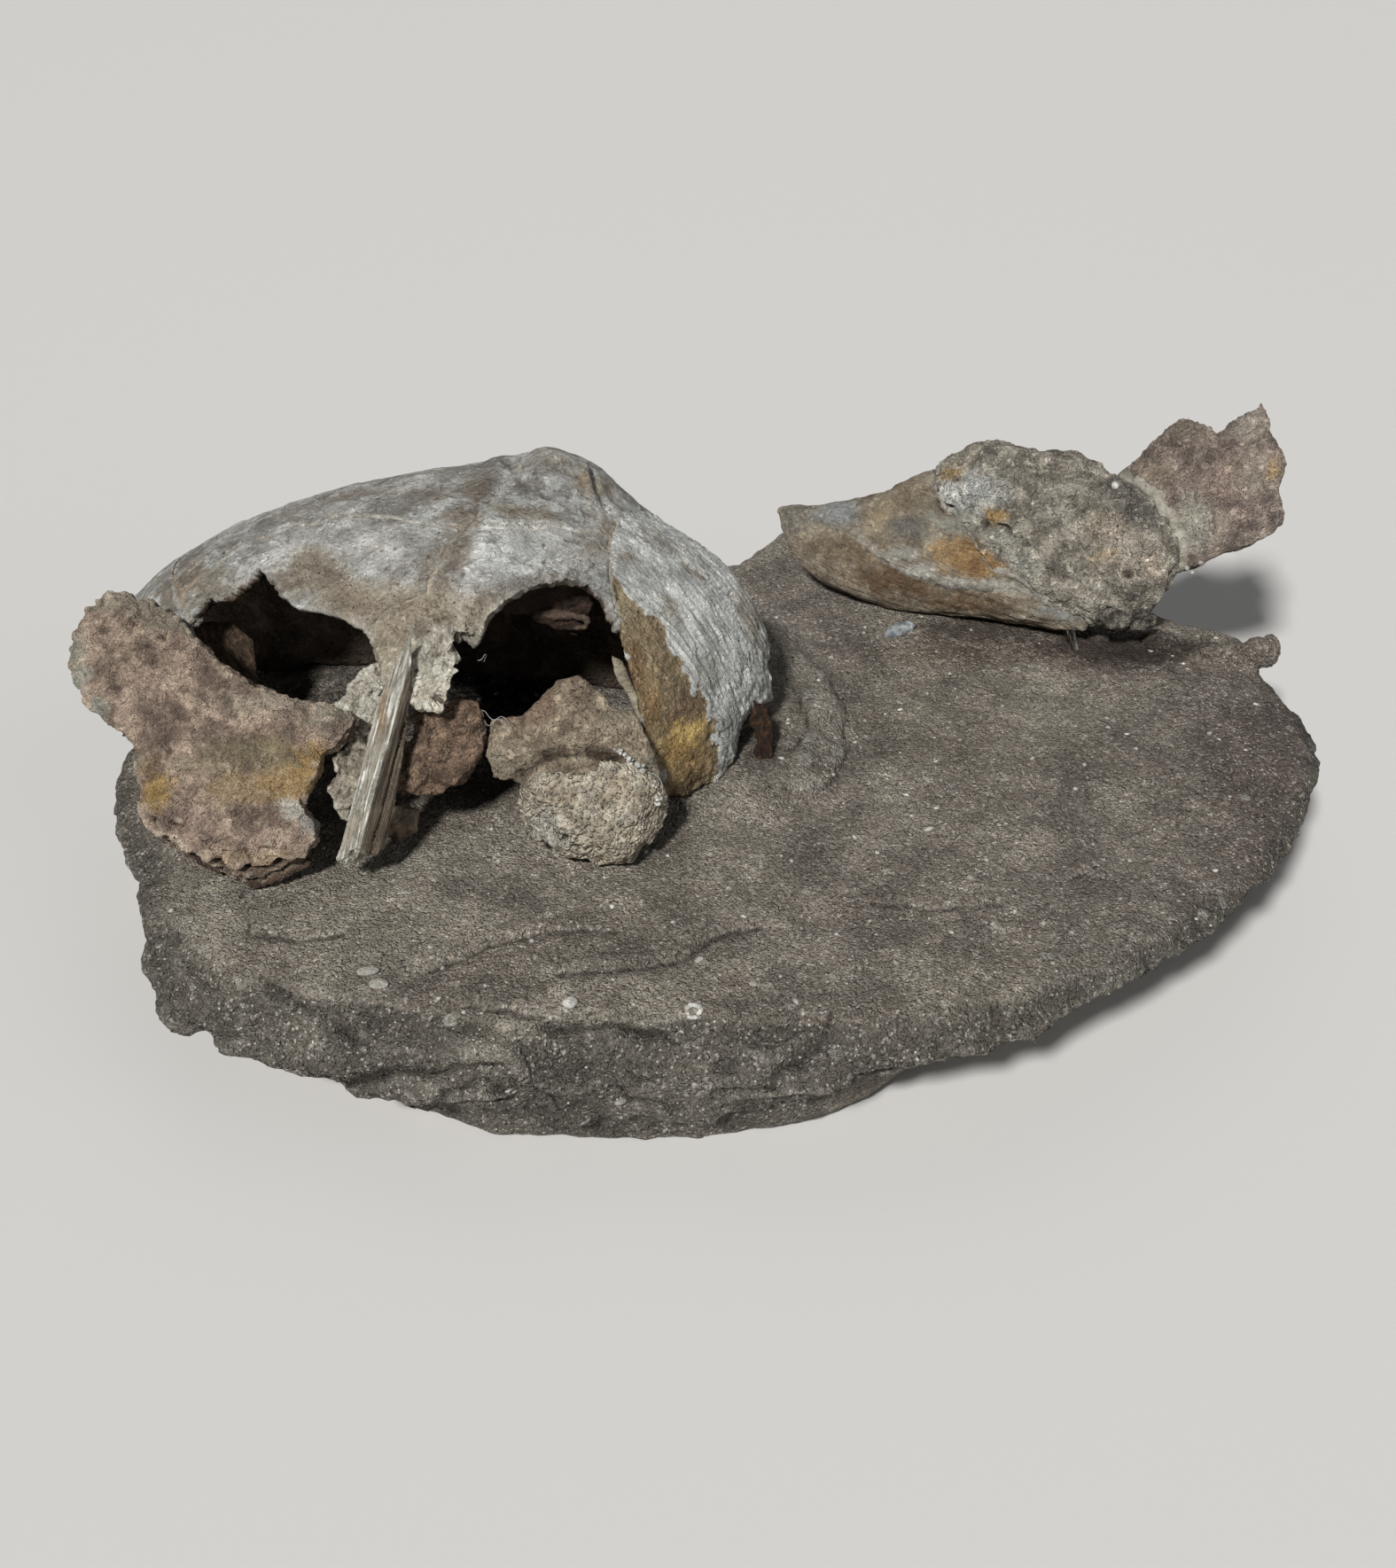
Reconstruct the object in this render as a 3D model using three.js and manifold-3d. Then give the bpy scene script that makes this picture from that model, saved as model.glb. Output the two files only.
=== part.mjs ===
// A fossil sea turtle skull on its slab of sandstone, with a broken piece of the lower jaw beside it.
// Millimetres, +Z up. The snout points to -Y and the animal's right side is at -X. The skull keeps its
// roof, the bridge between the eye openings and the left cheek; the front of the palate is broken away
// and its pieces lie where they fell. The rear is filled with rock. Pieces that touch keep a small gap.

import * as THREE from "three";
import Module from "manifold-3d";
import { mergeVertices } from "three/addons/utils/BufferGeometryUtils.js";

const wasm = await Module();
wasm.setup();

// ---------------------------------------------------------------------------------------------
// Driving dimensions
// ---------------------------------------------------------------------------------------------

const GAP = 0.3; // clearance between two pieces that touch
const SUTURE = 0.35; // width of the open line between two bones of the roof
const BONE = 5; // thickness of the roof and cheek
const MARGIN = 400; // a cutter reaches this far past what it cuts

// The slab: half its length, how far it reaches in front of its middle and behind it at either side, its
// thickness, and how far its beds step in below the top.
const SLAB = { x: 6, y: 14, half: 133, front: 100, rearRight: 90, rearLeft: 118, thick: 30, inset: 9 };

// The braincase is a rounded dome with its middle at x, y, z and a reach to each side of that middle.
// The two "full" exponents say how boxy its right and left flanks are, and "plan" the same from above.
const DOME = {
  x: -54, y: 28, z: 29, right: 84.5, left: 71.5, front: 62.5, back: 48, high: 58,
  fullRight: 1.9, fullLeft: 2.25, plan: 1.8,
};
const OUTER_FACES = 9; // how finely the outside of the dome is faceted, and its inside
const INNER_FACES = 6;
// Where the roof rises or sinks from the plain dome, seen from above.
const RELIEF = [
  { x: -29, y: 42, rise: 6.5, spread: 14 }, // the peak where the crest begins
  { x: -85, y: 38, rise: -1.2, spread: 22 }, // the flat right shoulder
  { x: -14, y: 36, rise: -3, spread: 9 }, // the hollow at the left of the peak
  { x: 6, y: 30, rise: 1.5, spread: 12 }, // the swelling behind the left cheek
];
const REAR_EDGE = 47; // height at which the roof bones end at the back
const ROCK_FACE = 29; // the rock in the braincase starts at this y

const JAW = { at: [82, 75, 48], turn: 20, lean: 38 }; // the plane that the jaw fragment lies in

const COLOURS = {
  roof: "#a39a8c", cheek: "#a8a295", bridge: "#94867a", plate: "#8a6f62", splinter: "#b3a48c",
  palatine: "#7d5f50", rock: "#8d8171", slab: "#6f6560", jaw: "#9a8062", flake: "#96786c",
};
const BONE_COLOURS = { nasal_bridge: COLOURS.bridge, left_postorbital: COLOURS.cheek };

// ---------------------------------------------------------------------------------------------
// Making solids
// ---------------------------------------------------------------------------------------------

// A closed geometry as a solid that can be joined and cut.
function solid(geometry) {
  const bare = new THREE.BufferGeometry();
  bare.setAttribute("position", geometry.getAttribute("position"));
  bare.setIndex(geometry.index);
  const merged = mergeVertices(bare, 1e-4);
  return new wasm.Manifold(new wasm.Mesh({
    numProp: 3,
    vertProperties: new Float32Array(merged.getAttribute("position").array),
    triVerts: new Uint32Array(merged.index.array),
  }));
}

// The largest body of a solid, without the crumbs that a rough cut can leave beside it.
function mainBody(piece) {
  return piece.decompose().reduce((a, b) => (a.volume() > b.volume() ? a : b));
}

function geometryOf(piece) {
  const { numProp, vertProperties, triVerts } = piece.getMesh();
  const geometry = new THREE.BufferGeometry();
  const vertices = new THREE.InterleavedBuffer(vertProperties, numProp);
  geometry.setAttribute("position", new THREE.InterleavedBufferAttribute(vertices, 3, 0));
  geometry.setIndex(new THREE.BufferAttribute(triVerts, 1));
  const faceted = geometry.toNonIndexed();
  faceted.computeVertexNormals();
  return faceted;
}

// The same solid moved by x, y, z.
function moved(piece, x, y, z) {
  return solid(geometryOf(piece).translate(x, y, z));
}

// The bed that a neighbour leaves: the solid with itself moved by the gap along each axis, both ways.
function bedOf(piece) {
  const shifts = [[GAP, 0, 0], [-GAP, 0, 0], [0, GAP, 0], [0, -GAP, 0], [0, 0, GAP], [0, 0, -GAP]];
  return shifts.reduce((bed, shift) => bed.add(moved(piece, ...shift)), piece);
}

// A smooth uneven field of about -1 to 1, with bumps that lie `size` apart.
function uneven(x, y, z, size) {
  const k = (2 * Math.PI) / size;
  const first = Math.sin(k * (x + 0.4 * y) + 1.3);
  const second = Math.sin(k * (0.8 * y - 0.5 * z + 0.2 * x) + 4.1);
  const third = Math.sin(k * (0.9 * z - 0.3 * x + 0.1 * y) + 2.6);
  return (first + second + third) / 3;
}

// A bump of height 1 at `middle` that dies away over `spread`; angles in degrees wrap round.
function swell(angle, middle, spread) {
  const away = ((angle - middle + 540) % 360) - 180;
  return Math.exp(-((away / spread) ** 2));
}

// The frame of a piece that faces -Y, turned by `turn` degrees about the vertical and leaning back by
// `lean` degrees: its own +X is to the right, +Y up along the piece and +Z outward.
function facing(at, turn, lean) {
  const t = THREE.MathUtils.degToRad(turn);
  const l = THREE.MathUtils.degToRad(lean);
  const inward = new THREE.Vector3(Math.sin(t) * Math.cos(l), Math.cos(t) * Math.cos(l), -Math.sin(l));
  const right = new THREE.Vector3(Math.cos(t), -Math.sin(t), 0);
  const up = new THREE.Vector3().crossVectors(right, inward);
  return new THREE.Matrix4().makeBasis(right, up, inward.negate()).setPosition(...at);
}

// Closed rings of equal length, the first and last closed by a fan to their middles.
function loft(rings, firstMiddle, lastMiddle) {
  const count = rings[0].length;
  const vertices = [firstMiddle, ...rings.flat(), lastMiddle];
  const last = vertices.length - 1;
  const index = [];
  for (let i = 0; i < count; i += 1) {
    const next = (i + 1) % count;
    index.push(0, 1 + i, 1 + next);
    index.push(last, last - count + next, last - count + i);
    for (let ring = 0; ring < rings.length - 1; ring += 1) {
      const a = 1 + ring * count;
      const b = a + count;
      index.push(a + i, b + i, b + next, a + i, b + next, a + next);
    }
  }
  const geometry = new THREE.BufferGeometry().setFromPoints(vertices);
  geometry.setIndex(index);
  return geometry;
}

// A broken piece from its outline, seen from its face. The face and the back swell by `front` and
// `back` towards the middle, a blunt `edge` joins them, and `bow` is how far the piece curves back at
// its sides and at its ends. `grow` makes it larger all round, for the bed it lies in.
function plate(spec, grow = 0) {
  const { outline, at, turn, lean, front, back } = spec;
  const { edge = 1.5, between = 2, rough = 0.5, lumps = 7, bow = [0, 0], rings = 3 } = spec;
  const corners = outline.map(([x, y]) => new THREE.Vector3(x, y, 0));
  const curve = new THREE.CatmullRomCurve3(corners, true, "centripetal");
  const rim = curve.getPoints(outline.length * between).slice(0, -1);
  if (THREE.ShapeUtils.area(rim) < 0) rim.reverse();
  const middle = rim.reduce((sum, p) => sum.add(p), new THREE.Vector3()).divideScalar(rim.length);
  const halfWidth = Math.max(...rim.map((p) => Math.abs(p.x - middle.x)));
  const halfHeight = Math.max(...rim.map((p) => Math.abs(p.y - middle.y)));

  // Which way is out at each point of the rim.
  const outward = rim.map((p, i) => {
    const along = rim[(i + 1) % rim.length].clone().sub(rim.at(i - 1));
    return new THREE.Vector3(along.y, -along.x, 0).normalize();
  });
  const surface = (p, i, s, side) => {
    const away = p.clone().sub(middle);
    const { x, y } = middle.clone().addScaledVector(away, s);
    const dip = bow[0] * ((x - middle.x) / halfWidth) ** 2 + bow[1] * ((y - middle.y) / halfHeight) ** 2;
    const swelling = (side > 0 ? front : back) * Math.sqrt(1 - s * s) + edge / 2 + grow;
    const height = side * swelling - dip + rough * uneven(x, y, side * 9, lumps);
    return new THREE.Vector3(x, y, height).addScaledVector(outward[i], s * grow);
  };
  const steps = [];
  for (let ring = 1; ring <= rings; ring += 1) steps.push(Math.sin((ring / rings) * (Math.PI / 2)));
  const face = steps.map((s) => rim.map((p, i) => surface(p, i, s, 1)));
  const rear = steps.map((s) => rim.map((p, i) => surface(p, i, s, -1))).reverse();
  const geometry = loft([...face, ...rear], surface(rim[0], 0, 0, 1), surface(rim[0], 0, 0, -1));
  return solid(geometry.applyMatrix4(facing(at, turn, lean)));
}

// A cutter with a straight-sided outline, driven both ways through the bone.
function punch({ outline, at, turn, lean, reach }) {
  const shape = new THREE.Shape(outline.map(([x, y]) => new THREE.Vector2(x, y)));
  const geometry = new THREE.ExtrudeGeometry(shape, { depth: MARGIN + reach, bevelEnabled: false });
  geometry.translate(0, 0, -reach);
  return solid(geometry.applyMatrix4(facing(at, turn, lean)));
}

// A thin upright cut along a path drawn from above, with the small waver of a real suture.
function suture([waver, path], wave = 9) {
  const route = new THREE.CatmullRomCurve3(path.map(([x, y]) => new THREE.Vector3(x, y, 0)));
  const steps = Math.ceil(route.getLength() / (wave / 2));
  const left = [];
  const right = [];
  for (let i = 0; i <= steps; i += 1) {
    const p = route.getPointAt(i / steps);
    const along = route.getTangentAt(i / steps);
    const across = new THREE.Vector2(-along.y, along.x);
    const shift = waver * Math.sin(2.4 * i);
    left.push(across.clone().multiplyScalar(shift + SUTURE / 2).add(p));
    right.push(across.clone().multiplyScalar(shift - SUTURE / 2).add(p));
  }
  const shape = new THREE.Shape([...left, ...right.reverse()]);
  return solid(new THREE.ExtrudeGeometry(shape, { depth: MARGIN, bevelEnabled: false }));
}

// ---------------------------------------------------------------------------------------------
// The slab of sandstone
// ---------------------------------------------------------------------------------------------

// The outline from above: an oval with the knobs and bites of a split block, by angle from +X.
function slabReach(angle) {
  const a = THREE.MathUtils.degToRad(angle);
  const toRight = THREE.MathUtils.smoothstep(angle, 79, 88);
  const rear = THREE.MathUtils.lerp(SLAB.rearLeft, SLAB.rearRight, toRight);
  const depth = Math.sin(a) < 0 ? SLAB.front : rear;
  const oval = 1 / Math.hypot(Math.cos(a) / SLAB.half, Math.sin(a) / depth);
  const frontCorner = 18 * swell(angle, 218, 12) + 11 * swell(angle, 240, 12);
  const frontHollow = -8 * swell(angle, 326, 20) - 4 * swell(angle, 351, 9);
  const rearKnob = 9 * swell(angle, 20, 3.2) + 3 * swell(angle, 8, 12);
  const rearShoulder = 12 * swell(angle, 132, 24);
  return oval + frontCorner + frontHollow + rearKnob + rearShoulder + uneven(angle, 0, 0, 23);
}

// The beds of the stone: each height down the side, as a share of the thickness, is set in by a share.
const BEDS = [[1, 0], [0.88, 0.03], [0.76, 0.4], [0.58, 0.3], [0.42, 0.8], [0.1, 1]];

function slabSolid() {
  const points = 50;
  const ring = (share, inward, height) => {
    const out = [];
    for (let i = 0; i < points; i += 1) {
      const angle = (360 * i) / points;
      const a = THREE.MathUtils.degToRad(angle);
      const corner = 0.6 + 1.5 * swell(angle, 222, 26) + 3.2 * swell(angle, 316, 26);
      const chipped = inward === 0 ? 0 : 2 * uneven(angle * 1.7, height * 3, 40 * inward, 31);
      const r = slabReach(angle) * share - SLAB.inset * inward * corner - chipped;
      const x = SLAB.x + r * Math.cos(a);
      const y = SLAB.y + r * Math.sin(a);
      const flat = height === 0 ? 0 : 0.7 * uneven(x, y, 0, 47) - 1.2 * Math.max(0, share - 0.9) * 10;
      out.push(new THREE.Vector3(x, y, height === SLAB.thick ? height + flat : height));
    }
    return out;
  };
  const top = [0.4, 0.75, 0.95].map((share) => ring(share, 0, SLAB.thick));
  const side = BEDS.map(([height, inset]) => ring(1, inset, height * SLAB.thick));
  const foot = [ring(1, 1.2, 0), ring(0.55, 1.2, 0)];
  const crown = new THREE.Vector3(SLAB.x, SLAB.y, SLAB.thick);
  const base = new THREE.Vector3(SLAB.x, SLAB.y, 0);
  return solid(loft([...top, ...side, ...foot], crown, base));
}

// A low step of rock left round the skull when it was dug out, ending in a curved edge at its left.
const STEP = {
  outline: [[-62, -15], [8, -32], [38, -31], [51, -31], [64, -26], [72, -18], [76, -6], [76, 7], [71, 24],
    [64, 48], [44, 50], [20, 36], [-30, 40], [-55, 20], [-66, 0]],
  at: [-45, 20, 31], turn: 0, lean: 90, front: 1.6, back: 2, edge: 3, rough: 0.4, between: 2, rings: 2,
};

const block = slabSolid();
const slab = block.add(plate(STEP));

// ---------------------------------------------------------------------------------------------
// The braincase: one dome, hollowed, opened at the face and parted along its sutures
// ---------------------------------------------------------------------------------------------

// How far the dome reaches from its middle in a direction.
function domeReach(d) {
  const side = (d.x / Math.max(Math.hypot(d.x, d.y), 1e-9) + 1) / 2;
  const full = THREE.MathUtils.lerp(DOME.fullRight, DOME.fullLeft, THREE.MathUtils.smoothstep(side, 0, 1));
  const across = Math.abs(d.x) / (d.x < 0 ? DOME.right : DOME.left);
  const along = Math.abs(d.y) / (d.y < 0 ? DOME.front : DOME.back);
  const plan = (across ** DOME.plan + along ** DOME.plan) ** (full / DOME.plan);
  return (plan + (Math.abs(d.z) / DOME.high) ** full) ** (-1 / full);
}

// The dome with its surface moved out by `offset`; `finer` sets how many faces it has.
function dome(offset, finer, rough) {
  const geometry = new THREE.IcosahedronGeometry(1, finer);
  const middle = new THREE.Vector3(DOME.x, DOME.y, DOME.z);
  const vertices = geometry.getAttribute("position");
  const p = new THREE.Vector3();
  for (let i = 0; i < vertices.count; i += 1) {
    p.fromBufferAttribute(vertices, i).normalize();
    const reach = domeReach(p);
    const x = middle.x + p.x * reach;
    const y = middle.y + p.y * reach;
    let relief = rough * uneven(x, y, p.z * reach, 21);
    for (const bump of RELIEF) {
      relief += bump.rise * Math.exp(-((Math.hypot(x - bump.x, y - bump.y) / bump.spread) ** 2));
    }
    p.multiplyScalar(reach + offset + relief * THREE.MathUtils.clamp(4 * p.z, 0, 1)).add(middle);
    vertices.setXYZ(i, p.x, p.y, p.z);
  }
  return solid(geometry);
}

// The opening of the right eye, with the lost snout and palate below it.
const RIGHT_ORBIT = {
  outline: [[-20, 9], [-18, 6], [-15.5, 9], [-12, 11.5], [-9.5, 10.5], [-6.5, 12.5], [-3.5, 14], [-1, 17],
    [1, 13.5], [3, 10.5], [5.5, 7], [10, 6], [14.5, 3.5], [18.5, 0.5], [20, -4], [19.5, -9], [26.5, -16],
    [34, -17], [28, -64], [-30, -60], [-27, -30], [-20, -12], [-21, 2]],
  at: [-87, 0, 64], turn: -14, lean: 29, reach: 45,
};
// The opening of the left eye, open at the bottom between the bridge and the bar of the cheek.
const LEFT_ORBIT = {
  outline: [[-23, -6], [-21, -0.5], [-18.5, 4], [-15, 7.5], [-13.5, 11.5], [-10, 15], [-4.5, 18], [2.5, 19],
    [7, 18], [10, 15], [12, 10], [13.5, 3], [15.5, -4.5], [17, -14], [19.5, -21], [20.5, -26], [19.5, -55],
    [-25.5, -52.5]],
  at: [-29, 0, 57.5], turn: -5, lean: 30.5, reach: 45,
};
// What is missing below the left cheek, and below the right flank.
const CHEEK_EDGE = {
  outline: [[-15.5, -7], [-10, -7], [-4.5, -4.5], [-1, -1], [0, 3], [0, 7], [2.5, 11], [6, 13.5], [13, 15.5],
    [40, 17], [40, -60], [-15, -60]],
  at: [8, 0, 35.5], turn: 1, lean: 33, reach: 60,
};
const FLANK_EDGE = {
  outline: [[-40, 10], [-2.5, 10], [3, 5.5], [5.5, -1], [6.5, -7], [6, -12], [10.5, -24], [16, -60],
    [-40, -60]],
  at: [-128, 5, 34.5], turn: -20, lean: 31.5, reach: 60,
};
// Everything below the rear edge of the roof bones: a rough block with its top at that height.
const UNDER_REAR = {
  outline: [[-100, -96], [-48, -92], [-38, -58], [-20, -60], [20, -56], [50, -60], [100, -58], [100, 30],
    [-100, 30]],
  at: [-50, 84, REAR_EDGE - 40], turn: 0, lean: 90, front: 2, back: 10, edge: 78, rough: 1.4, rings: 2,
};
// Everything in front of the rock that fills the braincase.
const BEFORE_ROCK = {
  outline: [[-95, -60], [95, -60], [95, 80], [-95, 80]],
  at: [-50, ROCK_FACE - 40, 40], turn: 12, lean: 0, front: 2, back: 10, edge: 78, rough: 1.5, rings: 2,
};

// The open sutures of the roof, as paths seen from above, and how far each one wavers.
const SUTURES = {
  midline: [0.7, [[-54, -5.5], [-53, 1], [-50, 8], [-46, 15], [-42, 24], [-38, 38], [-33, 60], [-28, 100]]],
  bridge: [0.5, [[-70, -19], [-62, -7.5], [-58, -5], [-52.5, -4.5], [-47, -8.5], [-36, -19]]],
  rightFlank: [0.2, [[-101, -14], [-106, 7], [-108, 12], [-111, 19], [-113, 30], [-108, 50], [-100, 90]]],
  leftCheek: [0.2, [[-16, -20], [-16, -5], [-17, 1], [-18, 9], [-18, 20], [-15, 33], [-8, 50], [6, 90]]],
  crosswise: [0.7, [[-109.5, 13], [-92, 20], [-70, 19], [-48, 11.5], [-30, 15], [-17, 19]]],
};

// The bones between the sutures, each with a point near its middle as seen from above.
const ROOF_BONES = {
  right_frontal: [-80, 3], left_frontal: [-34, 2], right_parietal: [-78, 45], left_parietal: [-27, 45],
  nasal_bridge: [-53, -15], right_postorbital: [-120, 25], left_postorbital: [2, 20],
};

// The right upper jaw bone, a plate whose upper left end is let into the flank.
const MAXILLA = {
  outline: [[-33, 24.5], [-25.5, 29.5], [-14.5, 27], [-10, 24], [-0.5, 17], [10, 13], [23.5, 10.5],
    [30, 8.5], [25, 1], [22.5, -10], [26, -13.5], [24, -21.5], [13.5, -27.5], [-1, -22.5], [-11.5, -18],
    [-11.5, -10.5], [-17, -1.5], [-28, 6], [-33, 14]],
  at: [-98.5, -19, 52.5], turn: 11.5, lean: 46, front: 2, back: 3, edge: 4, rough: 0.7, bow: [2, 2],
};

const ground = solid(new THREE.BoxGeometry(MARGIN, MARGIN, 90).translate(0, 0, SLAB.thick - 45.5));
const rockBed = block.add(moved(block, 0, 0, GAP)).add(plate(STEP, GAP)).add(ground);
const underRear = plate(UNDER_REAR);
const face = [RIGHT_ORBIT, LEFT_ORBIT, CHEEK_EDGE, FLANK_EDGE].map(punch);
const maxillaBed = plate(MAXILLA, GAP);
const shell = [dome(-BONE, INNER_FACES, 0.3), underRear, rockBed, maxillaBed, ...face].reduce(
  (bone, cutter) => bone.subtract(cutter),
  dome(0, OUTER_FACES, 0.5),
);
const bones = Object.values(SUTURES).reduce((bone, line) => bone.subtract(suture(line)), shell).decompose();

// The body whose middle, seen from above, lies nearest to a point.
function nearest(bodies, [x, y]) {
  const away = (body) => {
    const { min, max } = body.boundingBox();
    return Math.hypot((min[0] + max[0]) / 2 - x, (min[1] + max[1]) / 2 - y);
  };
  return bodies.filter((b) => b.volume() > 300).reduce((a, b) => (away(a) < away(b) ? a : b));
}

// The rock that fills the braincase and bulges out below the roof bones at the back.
const boneBed = dome(3, 4, 0)
  .subtract(dome(-BONE - GAP, INNER_FACES, 0.3))
  .subtract(moved(underRear, 0, 0, -GAP));
const coreRock = mainBody(
  dome(-1.5, 5, 0.9).subtract(boneBed).subtract(plate(BEFORE_ROCK)).subtract(rockBed),
);

// The crest: an upright blade that runs back from the roof.
const CREST = {
  outline: [[-24, 12], [-8, 12], [6, 3], [16, -9], [18, -17], [8, -18], [-8, -10], [-24, 0]],
  at: [-30, 70, 64], turn: -78, lean: 0, front: 1.4, back: 1.4, edge: 2.6, rough: 0.3, rings: 2,
};
const crest = mainBody(plate(CREST).subtract(dome(GAP, OUTER_FACES, 0.5)));

// ---------------------------------------------------------------------------------------------
// The broken bones of the face
// ---------------------------------------------------------------------------------------------

const PALATINE_LUMP = {
  outline: [[-5, 8.5], [2, 9.5], [8.5, 8.5], [9.5, 3], [5.5, -6], [0, -8.5], [-9, -10.5], [-10.5, -5.5],
    [-7.5, 1.5]],
  at: [-51.5, -19, 51.5], turn: -8, lean: 30, front: 3, back: 5, edge: 3, rough: 0.8,
};

const PALATINE_SHEET = {
  outline: [[-7, 7], [-2.5, 8], [1.5, 12.5], [5.5, 14.5], [7, 11], [4.5, -0.5], [3, -9.5], [-1, -17.5],
    [-5.5, -16.5], [-7.5, -10], [-5.5, -3], [-1, 0], [-4, 4]],
  at: [-68.5, -16, 52.5], turn: -13, lean: 34, front: 0.6, back: 1, edge: 1.6, rough: 0.4, rings: 2,
  between: 1,
};

const PTERYGOID = {
  outline: [[-17, 4.5], [-10.5, 5], [-4, 11.5], [0.5, 12.5], [4.5, 10], [7.5, 6], [11.5, 5], [15, -2.5],
    [17, -9.5], [8.5, -11], [-5.5, -11], [-12.5, -8.5], [-16.5, -7], [-18, -1.5]],
  at: [-24.5, -18, 53.5], turn: -3, lean: 44, front: 1.6, back: 3, edge: 2, rough: 0.6, bow: [3, 0],
};

const ORBIT_ROCK = {
  outline: [[-12, 9], [-1, 11.5], [8.5, 10], [14.5, 4.5], [15.5, -1], [12, -7], [5.5, -12], [-2.5, -10.5],
    [-12.5, -5.5], [-15, 0.5]],
  at: [-21.5, -24.5, 40.5], turn: -2, lean: 30, front: 5, back: 9, edge: 4, rough: 0.9,
};

const QUADRATE = {
  outline: [[-2, 10], [1, 8.5], [2.5, 2], [1.5, -5.5], [-1, -10], [-2.5, -6], [-1, 1], [-3, 5.5]],
  at: [14, 6, 36], turn: 0, lean: 30, front: 0.4, back: 0.4, edge: 1.4, rough: 0.2, between: 1, rings: 2,
};

// The wall behind the right eye opening, which joins the flank to the floor of the braincase.
const RIGHT_ORBIT_WALL = {
  outline: [[-24, 10], [-4, 8], [0.5, 7.5], [4.5, 3], [4, -8], [-1.5, -12], [-12, -10], [-24, -4]],
  at: [-99.5, 14, 53.5], turn: -16, lean: 28, front: 0.5, back: 1, edge: 2, rough: 0.4, rings: 2, between: 1,
};

// The wall that comes down from the roof inside the left eye opening, and ends in a curled lip.
const LEFT_ORBIT_WALL = {
  outline: [[-9.5, -5], [-9.5, -1.5], [-4, -2.5], [0, -4], [2, -7], [4.5, -8], [7, -5], [7.5, -2], [8.5, 2],
    [8, 9], [-2, 10], [-10.5, 8.5], [-12, 2]],
  at: [-30, 9.8, 69], turn: -5, lean: 0, front: 0.3, back: 0.4, edge: 1.2, rough: 0.2, rings: 2,
  between: 1,
};

const JUGAL_SHEET = {
  outline: [[-4.5, 13.5], [-2.5, 12], [0, 2], [3.5, -7.5], [6, -13.5], [4, -11.5], [1, -6.5], [-2, 1]],
  at: [-13.5, -2, 48], turn: -2, lean: 25, front: 0.4, back: 0.6, edge: 1.2, rough: 0.2, rings: 2,
  between: 1,
};

const CHIP = {
  outline: [[-3.5, 2.5], [1, 4], [4, 2], [3, -2], [-0.5, -4], [-4, -2]],
  at: [-61, -20, 34], turn: -9, lean: 40, front: 1, back: 2.5, edge: 1.5, rough: 0.3, rings: 2, between: 1,
};

// The splinter that leans on the bridge, in its own frame: at each height, the left edge, the ridge of
// its face and the right edge.
const SPLINTER = {
  at: [-63.5, -28, 54.5], turn: -8, lean: 24,
  tip: [7.5, 23], end: [-8, -23.5], ridge: 2.6, back: 1.2,
  stations: [[19.5, 5.5, 7, 8], [14.5, 3, 5.5, 8.5], [9, 1, 4, 7.5], [-1, -2.5, 1, 5], [-9, -5, -2, 3],
    [-17, -8, -3.5, 0.5], [-21, -10, -5.5, -3.5]],
};

function splinterSolid({ at, turn, lean, tip, end, ridge, back, stations }) {
  const widest = Math.max(...stations.map(([, left, , right]) => right - left));
  const rings = stations.map(([y, left, middle, right]) => {
    const full = (right - left) / widest;
    const section = [
      [left, 0], [left, -back * full], [(left + right) / 2, -back * full * 1.6], [right, -back * full],
      [right, 0.4 * full], [(middle + right) / 2, ridge * full * 0.75], [middle, ridge * full],
      [(left + middle) / 2, ridge * full * 0.5],
    ];
    return section.map(([x, z]) => new THREE.Vector3(x, y, z + 0.2 * uneven(x, y, z, 6)));
  });
  const geometry = loft(rings.reverse(), new THREE.Vector3(...end, 0.4), new THREE.Vector3(...tip, 0.3));
  return solid(geometry.applyMatrix4(facing(at, turn, lean)));
}

// ---------------------------------------------------------------------------------------------
// The piece of the lower jaw
// ---------------------------------------------------------------------------------------------

const DENTARY = {
  ...JAW,
  outline: [[-65.5, -0.5], [-56.5, 2], [-39.5, 8], [-28.5, 15.5], [-24.5, 6], [-14.5, 6.5], [-7, 1],
    [-5, -8.5], [2.5, -10], [15, -13], [15.5, -17.5], [1.5, -18], [-16, -19], [-33.5, -20], [-45, -18],
    [-56.5, -13.5]],
  front: 5, back: 12, edge: 3, rough: 0.3,
};

const JAW_ROCK = {
  ...JAW,
  outline: [[-30, 12], [-28, 15.5], [-24, 19.5], [-16, 24.5], [-7, 24], [1.5, 24], [10.5, 22.5],
    [18.5, 19.5], [31, 9.5], [34, 1], [31.5, -8], [26, -13], [12, -16], [0, -14], [-10, -10], [-18, 0]],
  front: 8, back: 15, edge: 4, rough: 1,
};

const JAW_FLAKE = {
  ...JAW,
  outline: [[15, 20], [18.5, 25.5], [25, 34], [29, 37], [33.5, 36], [36.5, 34], [45, 43], [49, 35],
    [53.5, 29.5], [52.5, 24.5], [55, 19], [53.5, 12.5], [43, 6.5], [35, 1], [26.5, 4]],
  front: 1.2, back: 2.5, edge: 2.5, rough: 0.8, bow: [3, 3], rings: 2,
};

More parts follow.
